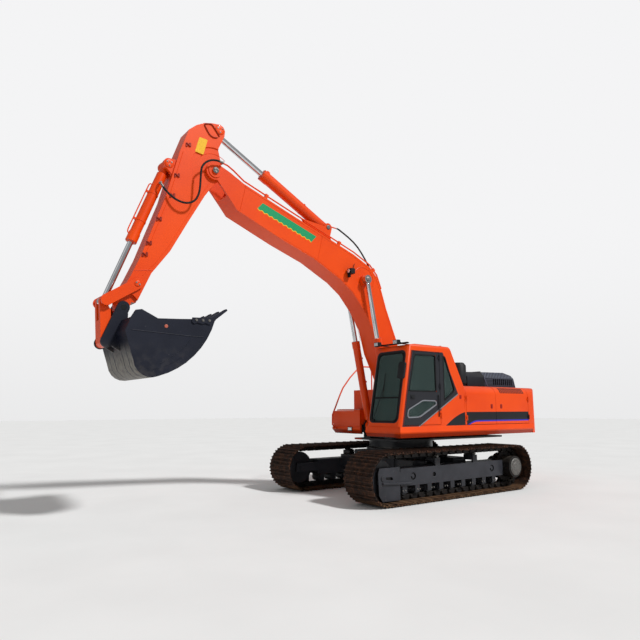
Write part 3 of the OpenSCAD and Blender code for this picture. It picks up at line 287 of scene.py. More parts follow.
def flat_color(name, hexed, roughness=0.5, metallic=0.0):
    """A small painted or moulded thing with a slight change of tone."""
    return speckled(name, (hexed, rgb(hexed, 0.8)), (30.0, 4.0, 0.55, 0.3), (roughness, 0.1, 50.0, 4.0),
                    (200.0, 4.0, 0.0001), metallic)


def chrome():
    shop = Finish("chrome")
    film = shop.noise(3.0, 5.0).above(0.55, 0.25)
    return shop.end(film.mix("DADCDF", "BDBEBF"), 0.08 + 0.12 * film, metallic=1.0,
                    bumps=[(shop.noise(60.0, 3.0), 0.00003)])


def seat_cloth():
    shop = Finish("seat_cloth")
    weave = (shop.y * 900.0).sine() * ((shop.x + shop.z) * 900.0).sine()
    return shop.end(weave.above(0.0, 0.6).mix("1B1C1F", "2C2E33"), 0.9, bumps=[(weave, 0.0006)])


def window_glass():
    """Tinted glass: mostly clear, with a grey-teal veil that is partly a thin film of dust and partly a
    painted reflection.
    """
    shop = Finish("window_glass")
    film = shop.noise(2.5, 5.0).above(0.6, 0.25)
    tint = shop.node("ShaderNodeBsdfTransparent", sockets={"Color": "E6EFEC"})
    pane = shop.node("ShaderNodeBsdfPrincipled", sockets={
        "Base Color": "627472", "Roughness": 0.04 + 0.08 * film, "IOR": 1.5, "Metallic": 0.0})
    # The pane's grey-teal veil is partly dust film and partly a painted reflection.
    share = shop.node("ShaderNodeFresnel", sockets={"IOR": 1.5}) * 1.4 + 0.09 + 0.09 * film
    return shop.surface(shop.node("ShaderNodeMixShader", sockets={0: share, 1: tint, 2: pane}))


def lamp_lens():
    shop = Finish("lamp_lens")
    ribs = (shop.y * 420.0).sine()
    return shop.end(ribs.above(0.0, 0.8).mix("C9CDD1", "EEF0F2"), 0.12, metallic=0.6, coat=0.8,
                    bumps=[(ribs, 0.0008)])


def mirror_glass():
    shop = Finish("mirror_glass")
    return shop.end(shop.noise(3.0).above(0.6, 0.3).mix("D5DADF", "C4C9CE"), 0.04 + 0.04 * shop.noise(8.0),
                    metallic=1.0)


# Meshes


def turn_angles(count, start=0.0):
    """Angles of even steps round a full turn."""
    return [start + 2 * math.pi * k / count for k in range(count)]


class Solid:
    """Closed solids gathered into one mesh."""

    def __init__(self):
        self.bm = bmesh.new()

    def transform(self, matrix):
        """Moves all that was gathered so far."""
        bmesh.ops.transform(self.bm, matrix=matrix, verts=self.bm.verts)
        bmesh.ops.recalc_face_normals(self.bm, faces=self.bm.faces)
        return self

    def skin(self, rings, closed=False):
        """Faces from each ring of points to the next; the ends are capped, or joined if closed."""
        rings = [[self.bm.verts.new(p) for p in ring] for ring in rings]
        faces = [] if closed else [self.bm.faces.new(rings[0][::-1]), self.bm.faces.new(rings[-1])]
        for a, b in zip(rings, rings[1:] + rings[:1] if closed else rings[1:]):
            faces += [self.bm.faces.new((a[k - 1], a[k], b[k], b[k - 1])) for k in range(len(a))]
        bmesh.ops.recalc_face_normals(self.bm, faces=faces)
        return self

    def block(self, low, high, move=None):
        made = bmesh.ops.create_cube(self.bm, size=1.0)["verts"]
        for v in made:
            v.co = Vector(l + (h - l) * (c + 0.5) for l, h, c in zip(low, high, v.co))
        if move:
            bmesh.ops.transform(self.bm, matrix=move, verts=made)
        return self

    def cylinder(self, start, end, r, r_end=None, sides=32):
        start, end = Vector(start), Vector(end)
        axis = end - start
        turn = Matrix.Translation((start + end) / 2) @ axis.to_track_quat("Z", "Y").to_matrix().to_4x4()
        bmesh.ops.create_cone(self.bm, cap_ends=True, segments=sides, radius1=r, depth=axis.length,
                              radius2=r if r_end is None else r_end, matrix=turn)
        return self

    def prism(self, outline, y0, y1):
        """A side-view outline of (x, z) points pulled from y0 to y1."""
        return self.skin([[(x, y, z) for x, z in outline] for y in (y0, y1)])

    def lathe(self, start, out, profile, sides=40):
        """Rings of (distance from start, radius) turned about the line that leaves start along out.

        A profile that ends where it began makes a closed ring.
        """
        axis = Vector(out).normalized()
        turn = axis.to_track_quat("Z", "Y").to_matrix()
        spokes = [turn @ Vector((math.cos(a), math.sin(a), 0)) for a in turn_angles(sides)]
        closed = profile[0] == profile[-1]
        return self.skin([[Vector(start) + axis * distance + spoke * r for spoke in spokes]
                          for distance, r in (profile[:-1] if closed else profile)], closed)

    def tube(self, points, r, sides=12):
        """A round tube along the points of a smooth line."""
        points = [Vector(p) for p in points]
        side, up = None, Vector((0, 0, 1))
        rings = []
        for i, p in enumerate(points):
            ahead = (points[min(i + 1, len(points) - 1)] - points[max(i - 1, 0)]).normalized()
            last, side = side, ahead.cross(up)
            side = (side if side.length > 0.05 else ahead.cross(Vector((0, 1, 0)))).normalized()
            if last is not None and side.dot(last) < 0:
                side = -side
            up = side.cross(ahead)
            rings.append([p + r * (math.cos(a) * side - math.sin(a) * up) for a in turn_angles(sides)])
        return self.skin(rings)

    def bolts(self, centres, out, r=0.014, h=0.012):
        """Hexagon heads at the centres, standing out along the direction."""
        out = Vector(out).normalized()
        for c in centres:
            c = Vector(c)
            self.cylinder(c, c + out * h * 0.3, r * 1.45, sides=16)
            self.cylinder(c, c + out * h, r * 1.1, r, sides=6)
        return self


def smooth_line(points, steps=8):
    """Points of a smooth line through the given ones."""
    pts = [Vector(p) for p in points]
    pts = [2 * pts[0] - pts[1]] + pts + [2 * pts[-1] - pts[-2]]
    line = []
    for a, b, c, d in zip(pts, pts[1:], pts[2:], pts[3:]):
        for k in range(steps):
            t = k / steps
            line.append(0.5 * (2 * b + (c - a) * t + (2 * a - 5 * b + 4 * c - d) * t ** 2
                               + (3 * b - a - 3 * c + d) * t ** 3))
    return line + [pts[-2]]


def arc_points(centre, r, start, end, steps):
    """(x, z) points on an arc, its angles in degrees."""
    angles = [math.radians(start + (end - start) * i / steps) for i in range(steps + 1)]
    return [(centre[0] + r * math.cos(a), centre[1] + r * math.sin(a)) for a in angles]


def along(p, q, y):
    """Places things drawn along +X from p towards q, both in side view, at that y."""
    turn = math.atan2(q[1] - p[1], q[0] - p[0])
    return Matrix.Translation((p[0], y, p[1])) @ Matrix.Rotation(-turn, 4, "Y")


def add_object(name, data):
    made = bpy.data.objects.new(name, data)
    bpy.context.scene.collection.objects.link(made)
    return made


def mesh_of(solid, name):
    """The gathered solids as a mesh that is smooth except across its sharp edges."""
    for face in solid.bm.faces:
        face.smooth = True
    for edge in solid.bm.edges:
        edge.smooth = len(edge.link_faces) == 2 and edge.calc_face_angle(math.pi) < SHARP
    mesh = bpy.data.meshes.new(name)
    solid.bm.to_mesh(mesh)
    solid.bm.free()
    return mesh


def piece(solid, name, body, look, bevel=0.0, replaces=()):
    """The gathered solids as one object that rides on a body, its edges rounded by bevel.

    A look is a material and a slot name; the slot is not used.
    """
    material, slot = look
    made = add_object(name, mesh_of(solid, name))
    made.data.materials.append(material)
    if bevel:
        edges = made.modifiers.new("edges", "BEVEL")
        edges.width = bevel
        edges.segments = 2
        edges.limit_method = "ANGLE"
        edges.angle_limit = SHARP
        edges.harden_normals = True
        edges.use_clamp_overlap = True
    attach(made, body)
    if replaces:
        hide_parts(*replaces)
    return made


def from_node(node):
    """The solids of a frame node, welded so that their edges can be rounded."""
    solid = Solid()
    solid.bm.from_mesh(frame["nodes"][node].data)
    bmesh.ops.remove_doubles(solid.bm, verts=solid.bm.verts, dist=2e-5)
    bmesh.ops.dissolve_degenerate(solid.bm, edges=solid.bm.edges, dist=1e-5)
    bmesh.ops.dissolve_limit(solid.bm, verts=solid.bm.verts, edges=solid.bm.edges,
                             angle_limit=math.radians(0.4))
    return solid


BODY_OF = {node: body for body, nodes in frame["record"]["behaviour"]["bodies"].items() for node in nodes}
SLOT_OF = {row["node"]: row["material_slot"] for row in frame["record"]["subparts"]}


def photo_camera():
    """The camera that the photograph was matched with."""
    forward = Vector((math.cos(YAW) * math.cos(PITCH), math.sin(YAW) * math.cos(PITCH), math.sin(PITCH)))
    right = forward.cross(Vector((0, 0, 1))).normalized()
    up = right.cross(forward)
    c, s = math.cos(ROLL), math.sin(ROLL)
    across, above = c * right + s * up, c * up - s * right
    data = bpy.data.cameras.new("camera")
    data.lens = LENS
    data.clip_end = 400
    camera = add_object("camera", data)
    camera.matrix_world = Matrix.Translation(EYE) @ Matrix((across, above, -forward)).transposed().to_4x4()
    bpy.context.scene.camera = camera


photo_camera()

ORANGE_PAINT = orange_paint()
BODY_PAINT = body_paint()
STEEL = speckled("worn_steel", ("8D8A86", "5B5550"), (14.0, 6.0, 0.58, 0.2), (0.32, 0.3, 24.0, 5.0),
                 (240.0, 4.0, 0.0002), 0.85)
BLACK_PLASTIC = speckled("black_plastic", ("17181A", "232427"), (4.0, 4.0, 0.6, 0.3), (0.42, 0.2, 12.0, 4.0),
                         (700.0, 2.0, 0.00015))
FRAME_PAINT = dark_paint("frame_paint", "2C2D32")
CHAIN_DARK = dark_paint("chain_dark", "1E1B1A", 0.0)
WARM_GREY = flat_color("hub_grey", "6E6C69", 0.45, 0.5)
GASKET = flat_color("window_rubber", "101113", 0.6)

ENAMEL = (ORANGE_PAINT, "orange_paint")
PLASTIC = (BLACK_PLASTIC, "black_plastic")
BARE = (STEEL, "bare_steel")
LENS_LOOK = (lamp_lens(), "window_glass")
HOSE = (speckled("hose_rubber", ("141415", "2A2928"), (22.0, 4.0, 0.6, 0.3), (0.55, 0.25, 40.0, 4.0),
                 (350.0, 3.0, 0.0002)), "hose_rubber")

# Route of the arm hose, as in the part's source
HOSE_R = 0.019
HOSE_ROUTE = [(4875, 330, 6437), (4930, 338, 6440), (4985, 346, 6436), (5050, 354, 6424), (5114, 360, 6402),
              (5180, 366, 6362), (5238, 370, 6308), (5282, 373, 6245), (5306, 375, 6170), (5313, 375, 6070),
              (5316, 375, 5968), (5319, 375, 5860), (5328, 375, 5758), (5350, 373, 5660), (5388, 369, 5578),
              (5438, 364, 5522), (5500, 357, 5486), (5570, 348, 5468), (5645, 336, 5472), (5722, 318, 5495),
              (5792, 296, 5536), (5850, 272, 5588), (5904, 246, 5650), (5948, 222, 5712), (5982, 205, 5770)]
HOSE_PORT = Vector(CURL_FOOT) + 0.44 * (Vector(ROCKER_END) - Vector(CURL_FOOT)).normalized()
ARM_END = (4.85, 6.44)


def arm_hose():
    """The free hose that crosses from the boom to the bucket cylinder, with its two elbows."""
    route = smooth_line([[c / 1000 for c in p] for p in HOSE_ROUTE], 6)
    hose = piece(Solid().tube(route, HOSE_R, 16), "arm_hose_tube", "arm", HOSE, replaces=["arm_hose"])
    elbows = Solid()
    for (x, z), y0, y1, end, towards in ((ARM_END, 0.2925, 0.350, route[0], route[3]),
                                         (HOSE_PORT, 0.1458, 0.215, route[-1], route[-4])):
        elbows.lathe((x, y0, z), (0, 1, 0), [(0, 0.020), (0.004, 0.023), (0.018, 0.023), (0.020, 0.019),
                                             (y1 - y0 - 0.004, 0.019), (y1 - y0, 0.015)], 24)
        out = (towards - end).normalized()
        elbows.lathe(end - out * 0.022, out,
                     [(0, 0.014), (0.004, 0.0195), (0.045, 0.0215), (0.08, 0.0215)], 24)
    fittings = piece(elbows, "arm_hose_ends", "arm", BARE, 0.001, ["arm_hose"])
    length = sum((b - a).length for a, b in zip(route, route[1:]))


arm_hose()


# Finishes of the frame's own nodes


def deck_paint():
    """Dark deck with its outer sills and front plates in orange, and painted shade in darker red along its
    lower part.
    """
    shop = Finish("deck_paint")
    sill = abs(shop.y).above(1.325) * shop.z.above(1.20)
    left = shop.x.above(1.435) * shop.y.above(0.44)
    right = shop.x.within(0.775, 0.84) * shop.y.below(-0.44)
    dark = (sill + left + right).below(0.5)
    # Painted shade: the lower part is darkened to a deep red.
    under = shop.z.below(1.306) * 0.8
    return orange_over(shop, [(under, "8E2508"), (dark, "232529")])


def track_frame_paint():
    """Dark grey beam with painted shade in black in its slots and recesses, and a painted highlight paler
    along its upper ledges.
    """
    shop = Finish("track_frame_paint")
    # Painted shade: near-black in the recessed band along the beam's sides.
    painted_shade_recess = abs(shop.y).within(1.462, 1.4935)
    base = shop.noise(3.0, 6.0).above(0.55, 0.3).mix("33343A", "25262B")
    # Painted highlight: faces that look up are made paler.
    painted_highlight_ledge = shop.facing_up().above(0.5, 0.3) * 0.5
    base = painted_shade_recess.mix(painted_highlight_ledge.mix(base, "75757A"), "0C0C0E")
    scuffs = shop.noise(26.0, 8.0).above(0.69, 0.03) * 0.3
    return shop.end(scuffs.mix(base, "77736E"), 0.38 + 0.25 * shop.noise(9.0), coat=0.15,
                    bumps=[(shop.noise(180.0, 3.0), 0.00012), (shop.noise(3.0, 2.0), 0.001)])


def arm_paint():
    """Orange arm whose bucket pin is left as dark steel at its ends."""
    shop = Finish("arm_paint")
    pin = ((shop.x - BUCKET_PIN[0]) ** 2.0 + (shop.z - BUCKET_PIN[1]) ** 2.0).below(0.0085)
    return orange_over(shop, [(abs(shop.y).above(0.1985, 0.001) * pin, "141518")])


def pipe_paint():
    """Orange pipes and clamps, and the black hose that runs between them in the middle."""
    shop = Finish("pipe_paint")
    return orange_over(shop, [(shop.y.within(-0.02, 0.158), "141415")])


def lid_paint():
    """Orange lid whose top is worn down to a grey-brown grip coat."""
    shop = Finish("lid_paint")
    coat = shop.noise(9.0, 6.0).above(0.5, 0.3).mix("6E6058", "85786E")
    return orange_over(shop, [(shop.facing_up().above(0.9, 0.05), coat)])


def cab_paint():
    """Orange cab with the dark side panel round its windows, a painted highlight as a pale line along the
    panel's lower edge, black painted shade in the gap behind the door, a black front frame and a black foot.

    The foot is an arch that runs down from the body's side band.
    """
    shop = Finish("cab_paint")
    side = shop.y.above(HALF_W - 0.0005, 0.0004)
    under = shop.z - (2.07 - (shop.x + 0.26) * 0.543)
    behind = shop.x - (-0.26 + (shop.z - 2.2) * 0.519)
    panel = side * under.above(0.0) * behind.above(0.0) * shop.z.within(1.44, 2.985)
    # Painted highlight: a pale grey line along the panel's lower edge.
    edge = panel * under.within(0.006, 0.026)
    front = shop.x - (FRONT_FOOT[0] - (shop.z - FRONT_FOOT[1]) * math.tan(RAKE))
    across = (abs(shop.y - SEAT_Y) - 0.31).over_zero()
    up = (abs(shop.z - 2.252) - 0.62).over_zero()
    frame_mask = front.above(-0.012) * (across ** 2.0 + up ** 2.0).below(0.0144, 0.0006)
    # Painted shade: black in the gap behind the door.
    painted_shade_gap = shop.y.above(1.395) * shop.x.within(0.245, 0.292) * shop.z.within(1.76, 2.985)
    arch_top = 1.44 + 0.29 * (1.0 - ((shop.x + 0.57) / 0.70).over_zero() ** 1.6)
    arch = side * (shop.z - arch_top).below(0.0) * shop.x.within(-0.56, 0.14)
    return orange_over(shop, [(painted_shade_gap, BLACK), (panel, "26272C"), (edge, "85878C"), (frame_mask, BLACK),
                              (arch, BLACK)])


def hood_paint():
    """Nearly black hood with a paler mesh on its rear half, the mesh's grey partly its own and partly a
    painted highlight.
    """
    shop = Finish("hood_paint")
    base = shop.noise(1.6).above(0.5, 0.3).mix("0E0F15", "15171F")
    rear = shop.x.below(-1.79)
    ribs = ((shop.x - shop.y) * 105.0).sine()
    # The mesh's grey is partly its own colour and partly a painted highlight: paler lines on the top, darker
    # grey on the sides.
    top = rear * shop.facing_up().above(0.3, 0.1)
    sides = rear * shop.facing_up().below(0.3, 0.1) * (shop.z * 190.0).sine().above(0.1, 0.6)
    base = (top * ribs.above(0.2, 0.5)).mix(base, "5A6072")
    base = (sides * 0.8).mix(base, "454A59")
    dust = shop.facing_up().above(0.6, 0.4) * shop.noise(5.0, 6.0).above(0.55, 0.3) * 0.15
    return shop.end(dust.mix(base, DUST), 0.40 + 0.2 * shop.noise(8.0) + 0.3 * dust, coat=0.1,
                    bumps=[(shop.noise(160.0, 3.0), 0.0001), (top * ribs, 0.004)])


def bucket_paint():
    """Dark blue enamel with dust below, scuffs, and worn strips along its back."""
    shop = Finish("bucket_paint")
    base = shop.noise(2.4, 6.0).above(0.52, 0.25).mix("0E1220", "151927")
    dust = shop.z.below(2.70, 0.3) * shop.noise(7.0, 7.0).above(0.55, 0.15) * 0.18
    scuffs = shop.noise(20.0, 8.0, (1, 3, 1)).above(0.70, 0.03) * 0.3
    width = abs(shop.y)
    back = width.below(BUCKET_Y - 0.008) * shop.z.below(2.70, 0.22) * shop.x.above(5.9, 0.1)
    strips = back * (1.0 - width.within(0.215, 0.25)) * (1.0 - width.within(0.46, 0.495))
    worn = shop.noise(11.0, 6.0, (1, 4, 1)).above(0.42, 0.2) * strips * 0.8
    base = worn.mix(scuffs.mix(dust.mix(base, "5A5652"), "55555A"), "827D73")
    return shop.end(base, 0.40 + 0.25 * shop.noise(9.0) + 0.25 * dust, coat=0.05,
                    bumps=[(shop.noise(140.0, 4.0), 0.0002), (shop.noise(2.0, 2.0), 0.0015)])


def boom_paint():
    """Orange with a green field along the boom's side, ending in a wavy yellow edge below."""
    shop = Finish("boom_paint")
    turn = math.atan2(0.45, 1.33)
    u = (shop.x - 2.58) * math.cos(turn) + (shop.z - 5.42) * math.sin(turn)
    v = (shop.z - 5.42) * math.cos(turn) - (shop.x - 2.58) * math.sin(turn)
    field = abs(shop.y).above(BOOM_Y - 0.001, 0.0005) * (u + v * 0.45).within(0.0, 1.40) * v.below(0.0)
    fall = v - (u * 52.0).sine() * 0.012
    edge, green = field * fall.above(-0.183), field * fall.above(-0.165)
    return orange_over(shop, [(edge, "E8B21C"), (green, "1E9460")])


BUCKET_PAINT = bucket_paint()
CAB_PAINT = cab_paint()
CHROME = chrome()

# Finish and bevel of the nodes that keep their own form
LOOKS = (
    (FRAME_PAINT, 0.006, ("carbody", "idlers")),
    (FRAME_PAINT, 0.004, ("track_rollers",)),
    (track_frame_paint(), 0.006, ("track_frame_left", "track_frame_right")),
    (CHAIN_DARK, 0.004, ("sprockets",)),
    (STEEL, 0.004, ("slew_ring",)),
    (deck_paint(), 0.005, ("slew_deck",)),
    (CAB_PAINT, 0.004, ("cab_shell", "cab_door")),
    (dark_paint("engine_grey", "4B4D50"), 0.02, ("engine_block",)),
    (BODY_PAINT, 0.003, ("body_shell",)),
    (BODY_PAINT, 0.006, ("counterweight",)),
    (BODY_PAINT, 0.004, ("side_door_front", "side_door_rear", "pump_door")),
    (hood_paint(), 0.006, ("engine_hood",)),
    (lid_paint(), 0.004, ("toolbox_lid",)),
    (boom_paint(), 0.005, ("boom",)),
    (pipe_paint(), 0.0, ("boom_pipes",)),
    (arm_paint(), 0.005, ("arm",)),
    (ORANGE_PAINT, 0.0, ("hand_rails",)),
    (ORANGE_PAINT, 0.003, ("lift_barrels", "crowd_barrel", "curl_barrel")),
    (ORANGE_PAINT, 0.004, ("tool_box",)),
    (ORANGE_PAINT, 0.005, ("rocker", "push_link")),
    (ORANGE_PAINT, 0.006, ("hydraulic_tank", "fuel_tank")),
    (CHROME, 0.001, ("lift_rods", "crowd_rod", "curl_rod")),
    (BUCKET_PAINT, 0.004, ("bucket",)),
    (BUCKET_PAINT, 0.006, ("bucket_teeth",)),
    (BLACK_PLASTIC, 0.012, ("intake_stack",)),
    (BLACK_PLASTIC, 0.006, ("boom_lamp",)),
    (BLACK_PLASTIC, 0.004, ("cab_lamps", "side_mirror")),
    (window_glass(), 0.0, ("cab_glass", "door_glass")),
)
for material, bevel, nodes in LOOKS:
    for node in nodes:
        piece(from_node(node), node + "_finish", BODY_OF[node], (material, SLOT_OF[node]), bevel, [node])


# Tracks


def repeat_tree():
    """Copies of one object at even steps along a closed path in side view, its X along it and Z outwards.

    Gives the node group and the identifiers of its inputs.
    """
    tree = bpy.data.node_groups.new("repeat_on_loop", "GeometryNodeTree")
    ids = {}
    for title, kind in (("Path", "Object"), ("Link", "Object"), ("Count", "Int"), ("Finish", "Material")):
        socket = tree.interface.new_socket(title, in_out="INPUT", socket_type="NodeSocket" + kind)
        ids[title] = socket.identifier
    tree.interface.new_socket("Geometry", in_out="OUTPUT", socket_type="NodeSocketGeometry")
    add = Shade(tree).node
    path, link, count, finish = (add("NodeGroupInput", out=title) for title in ids)
    path = add("GeometryNodeObjectInfo", sockets={"Object": path}, out="Geometry")
    link = add("GeometryNodeObjectInfo", sockets={"Object": link, "As Instance": True}, out="Geometry")
    even = add("GeometryNodeResampleCurve", sockets={"Curve": path, "Count": count})
    tangent = add("GeometryNodeInputTangent")
    outward = add("ShaderNodeVectorMath", {"operation": "CROSS_PRODUCT"}, {0: (0.0, 1.0, 0.0), 1: tangent})
    ahead = add("FunctionNodeAlignRotationToVector", {"axis": "X"}, {"Vector": tangent})
    upright = add("FunctionNodeAlignRotationToVector", {"axis": "Z", "pivot_axis": "X"},
                  {"Rotation": ahead, "Vector": outward})
    copies = add("GeometryNodeInstanceOnPoints",
                 sockets={"Points": even, "Instance": link, "Rotation": upright})
    real = add("GeometryNodeRealizeInstances", sockets={"Geometry": copies})
    painted = add("GeometryNodeSetMaterial", sockets={"Geometry": real, "Material": finish})
    add("NodeGroupOutput", sockets={0: painted})
    return tree, ids


RUN = 2 * WHEEL_X
BEND = math.pi * SHOE_SEAT_R
PITCH_LENGTH = 2 * (RUN + BEND) / SHOE_COUNT


def loop_path(name, y):
    """The closed middle line that the shoes sit on, from half a pitch past the rear of its bottom run."""
    steps = 960
    data = bpy.data.curves.new(name, "CURVE")
    data.dimensions = "3D"
    spline = data.splines.new("POLY")
    spline.points.add(steps - 1)
    spline.use_cyclic_u = True
    for i, point in enumerate(spline.points):
        s = ((i / steps + 0.5 / SHOE_COUNT) % 1.0) * 2 * (RUN + BEND)
        half, s = (1, s) if s < RUN + BEND else (-1, s - RUN - BEND)
        if s < RUN:
            x, z = s - WHEEL_X, -SHOE_SEAT_R
        else:
            a = (s - RUN) / SHOE_SEAT_R - math.pi / 2
            x, z = WHEEL_X + SHOE_SEAT_R * math.cos(a), SHOE_SEAT_R * math.sin(a)
        point.co = (half * x, y, TRACK_R + half * z, 1)
    return add_object(name, data)


def shoe_model():
    """A triple-bar shoe: a plate with a rolled front lip, three bars and eight bolt heads."""
    h = PITCH_LENGTH / 2
    profile = [(-h + 0.004, 0.002), (h + 0.010, -0.006), (h + 0.014, 0.004), (h - 0.012, 0.019)]
    for x, top in ((0.075, 0.041), (0.0, 0.050), (-0.075, 0.041)):
        profile += [(x + 0.019, 0.020), (x + 0.009, top - 0.003), (x + 0.005, top), (x - 0.005, top),
                    (x - 0.009, top - 0.003), (x - 0.019, 0.020)]
    profile += [(-h + 0.008, 0.019)]
    half = SHOE_W / 2
    solid = Solid().prism(profile, -half, half)
    spots = [(x, y, 0.019) for x in (-0.0375, 0.0375) for y in (-0.115, -0.055, 0.055, 0.115)]
    solid.bolts(spots, (0, 0, 1), r=0.011, h=0.012)
    for y in (-half + 0.002, half - 0.002):
        solid.block((-h + 0.02, y - 0.002, 0.001), (h - 0.02, y + 0.002, 0.012))
    return add_object("shoe_model", mesh_of(solid, "shoe_model"))


def chain_model():
    """One pitch of the chain: a pair of links with their pin and bushing."""
    h = PITCH_LENGTH / 2
    pin_z = -0.062
    edge = [(0.5, -0.002), (0.5, -0.03), (0.9, -0.052), (0.9, -0.088), (0.62, -0.099), (0.1, -0.099)]
    waist = [(-h * x, z) for x, z in edge] + [(0, -0.09)] + [(h * x, z) for x, z in edge[::-1]]
    solid = Solid()
    for s in (-1, 1):
        solid.prism(waist, s * 0.062 - 0.014, s * 0.062 + 0.014)
        solid.cylinder((h, s * 0.095 - 0.013, pin_z), (h, s * 0.095 + 0.005, pin_z), 0.028, sides=14)
        solid.prism(arc_points((h, pin_z), 0.036, 0, 330, 11), s * 0.088 - 0.012, s * 0.088 + 0.012)
    solid.cylinder((h, -0.076, pin_z), (h, 0.076, pin_z), 0.024, sides=14)
    return add_object("chain_model", mesh_of(solid, "chain_model"))


def tracks():
    tree, ids = repeat_tree()
    models = (("shoes", shoe_model(), rusty_steel()), ("chain", chain_model(), CHAIN_DARK))
    for side, y in (("left", TRACK_Y), ("right", -TRACK_Y)):
        for what, model, finish in models:
            name = "track_" + side + "_" + what
            path = loop_path(name + "_path", y)
            holder = add_object(name + "_maker", bpy.data.meshes.new(name + "_maker"))
            maker = holder.modifiers.new("loop", "NODES")
            maker.node_group = tree
            for key, value in (("Path", path), ("Link", model), ("Count", SHOE_COUNT), ("Finish", finish)):
                maker[ids[key]] = value
            graph = bpy.context.evaluated_depsgraph_get()
            mesh = bpy.data.meshes.new_from_object(holder.evaluated_get(graph), depsgraph=graph,
                                                   preserve_all_data_layers=True)
            mesh.name = name
            made = add_object(name, mesh)
            bpy.data.objects.remove(holder)
            bpy.data.objects.remove(path)
            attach(made, BODY_OF["track_" + side])
            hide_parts("track_" + side)
    for _, model, _ in models:
        bpy.data.objects.remove(model)


tracks()


# Details of the undercarriage


def ring_of(centre, r, count, y, start=0.0):
    """Points round a side-view centre at that y."""
    return [(centre[0] + r * math.cos(a), y, centre[1] + r * math.sin(a)) for a in turn_angles(count, start)]


def undercarriage_details():
    bolts, hubs = Solid(), Solid()
    hub = (-WHEEL_X, TRACK_R)
    for s in (-1, 1):
        out = (0, s, 0)
        hubs.lathe((hub[0], s * 1.640, hub[1]), out,
                   [(0, 0.17), (0.010, 0.19), (0.022, 0.19), (0.030, 0.18), (0.032, 0.10), (0.040, 0.092),
                    (0.042, 0.0)], 48)
        bolts.bolts(ring_of(hub, 0.15, 14, s * 1.670), out, 0.011, 0.012)
        bolts.bolts(ring_of(hub, 0.055, 3, s * 1.681), out, 0.010, 0.009)
        bolts.bolts([((i - 3.5) * 0.40 + dx, s * 1.495, 0.235) for i in range(8) for dx in (-0.035, 0.035)],
                    out, 0.011, 0.010)
        for x in (0.43, -0.76):
            hubs.lathe((x, s * 1.44, 0.84), out, [(0, 0.03), (0.054, 0.03), (0.060, 0.022)], 24)
    piece(hubs, "hub_covers", "undercarriage", (WARM_GREY, "frame_paint"))
    piece(bolts, "undercarriage_bolts", "undercarriage", BARE)
    ring = [(SLEW_BOLTS_R * math.cos(a), SLEW_BOLTS_R * math.sin(a), 1.0635) for a in turn_angles(36)]
    piece(Solid().bolts(ring, (0, 0, 1), 0.010, 0.012), "slew_ring_bolts", "undercarriage", BARE)


undercarriage_details()


# Details of the house


def round_corners(outline, r, steps=5):
    """The outline with its corners rounded by quadratic curves that start r from each corner."""
    out = []
    for i, corner in enumerate(outline):
        a, b, c = Vector(outline[i - 1]), Vector(corner), Vector(outline[(i + 1) % len(outline)])
        reach = min(r, 0.45 * (a - b).length, 0.45 * (c - b).length)
        p, q = b + (a - b).normalized() * reach, b + (c - b).normalized() * reach
        out += [tuple((1 - t) ** 2 * p + 2 * t * (1 - t) * b + t * t * q)
                for t in (k / steps for k in range(steps + 1))]
    return out


def rounded_box(low, high, r, steps):
    """A rectangle's outline between two corners, its own corners rounded."""
    return round_corners([low, (high[0], low[1]), high, (low[0], high[1])], r, steps)


def rim_ring(solid, outline, width, y0, y1):
    """A closed band along the inside of a side-view outline."""
    n = len(outline)
    turned = sum(outline[i - 1][0] * outline[i][1] - outline[i][0] * outline[i - 1][1] for i in range(n)) > 0
    inner = []
    for i in range(n):
        a, b, c = (Vector(outline[j % n]) for j in (i - 1, i, i + 1))
        d, e = (b - a).normalized(), (c - b).normalized()
        m = Vector((-d[1], d[0])) + Vector((-e[1], e[0]))
        m = m if turned else -m
        inner.append(b + m * width / max(0.35, 0.5 * m.length_squared))
    loops = ((outline, y0), (outline, y1), (inner, y1), (inner, y0))
    return solid.skin([[(x, y, z) for x, z in loop] for loop, y in loops], closed=True)


def front_x(z):
    """The cab's raked front face at that height."""
    return FRONT_FOOT[0] - (z - FRONT_FOOT[1]) * math.tan(RAKE)


DOOR_TOP = CAB_TOP - 0.15
DOOR_WINDOW = [(0.372, 2.14), (front_x(2.14) - 0.135, 2.14),
               (front_x(DOOR_TOP - 0.07) - 0.175, DOOR_TOP - 0.07), (0.372, DOOR_TOP - 0.06)]
LOWER_WINDOW = [(front_x(1.61) - 0.19, 1.61), (front_x(1.78) - 0.17, 1.78), (0.792, 1.98), (0.402, 1.97),
                (0.372, 1.88), (0.892, 1.62)]
QUARTER_WINDOW = [(0.152, DOOR_TOP - 0.06), (0.072, DOOR_TOP - 0.08), (-0.198, 2.24), (-0.188, 2.16),
                  (0.122, 1.96), (0.152, 1.98)]
RIGHT_WINDOW = [(-0.30, 2.0), (front_x(2.0) - 0.14, 2.0), (front_x(2.93) - 0.12, 2.93), (0.0, 2.93),
                (-0.30, 2.45)]

# FRONT places things drawn on the front face, x out of it and z up along it. FRONT_DRAWN comes first for
# side-view outlines: it turns their x into y.
FRONT = Matrix.Translation((FRONT_FOOT[0], 0, FRONT_FOOT[1])) @ Matrix.Rotation(-RAKE, 4, "Y")
FRONT_DRAWN = Matrix(((0, 1, 0, 0), (1, 0, 0, 0), (0, 0, 1, 0), (0, 0, 0, 1)))


def window_rubbers():
    trim = flat_color("trim_grey", "7C7F85", 0.45)
    for name, body, y, material, window in (("door_rubber", "cab_door", HALF_W, GASKET, DOOR_WINDOW),
                                            ("lower_trim", "cab_door", HALF_W, trim, LOWER_WINDOW),
                                            ("side_rubber", "house", HALF_W, GASKET, QUARTER_WINDOW),
                                            ("right_rubber", "house", CAB_Y0, GASKET, RIGHT_WINDOW)):
        out = 1 if y == HALF_W else -1
        rubber = rim_ring(Solid(), round_corners(window, 0.07), 0.026, y - out * 0.028, y + out * 0.003)
        piece(rubber, name, body, (material, "hose_rubber"), 0.002)


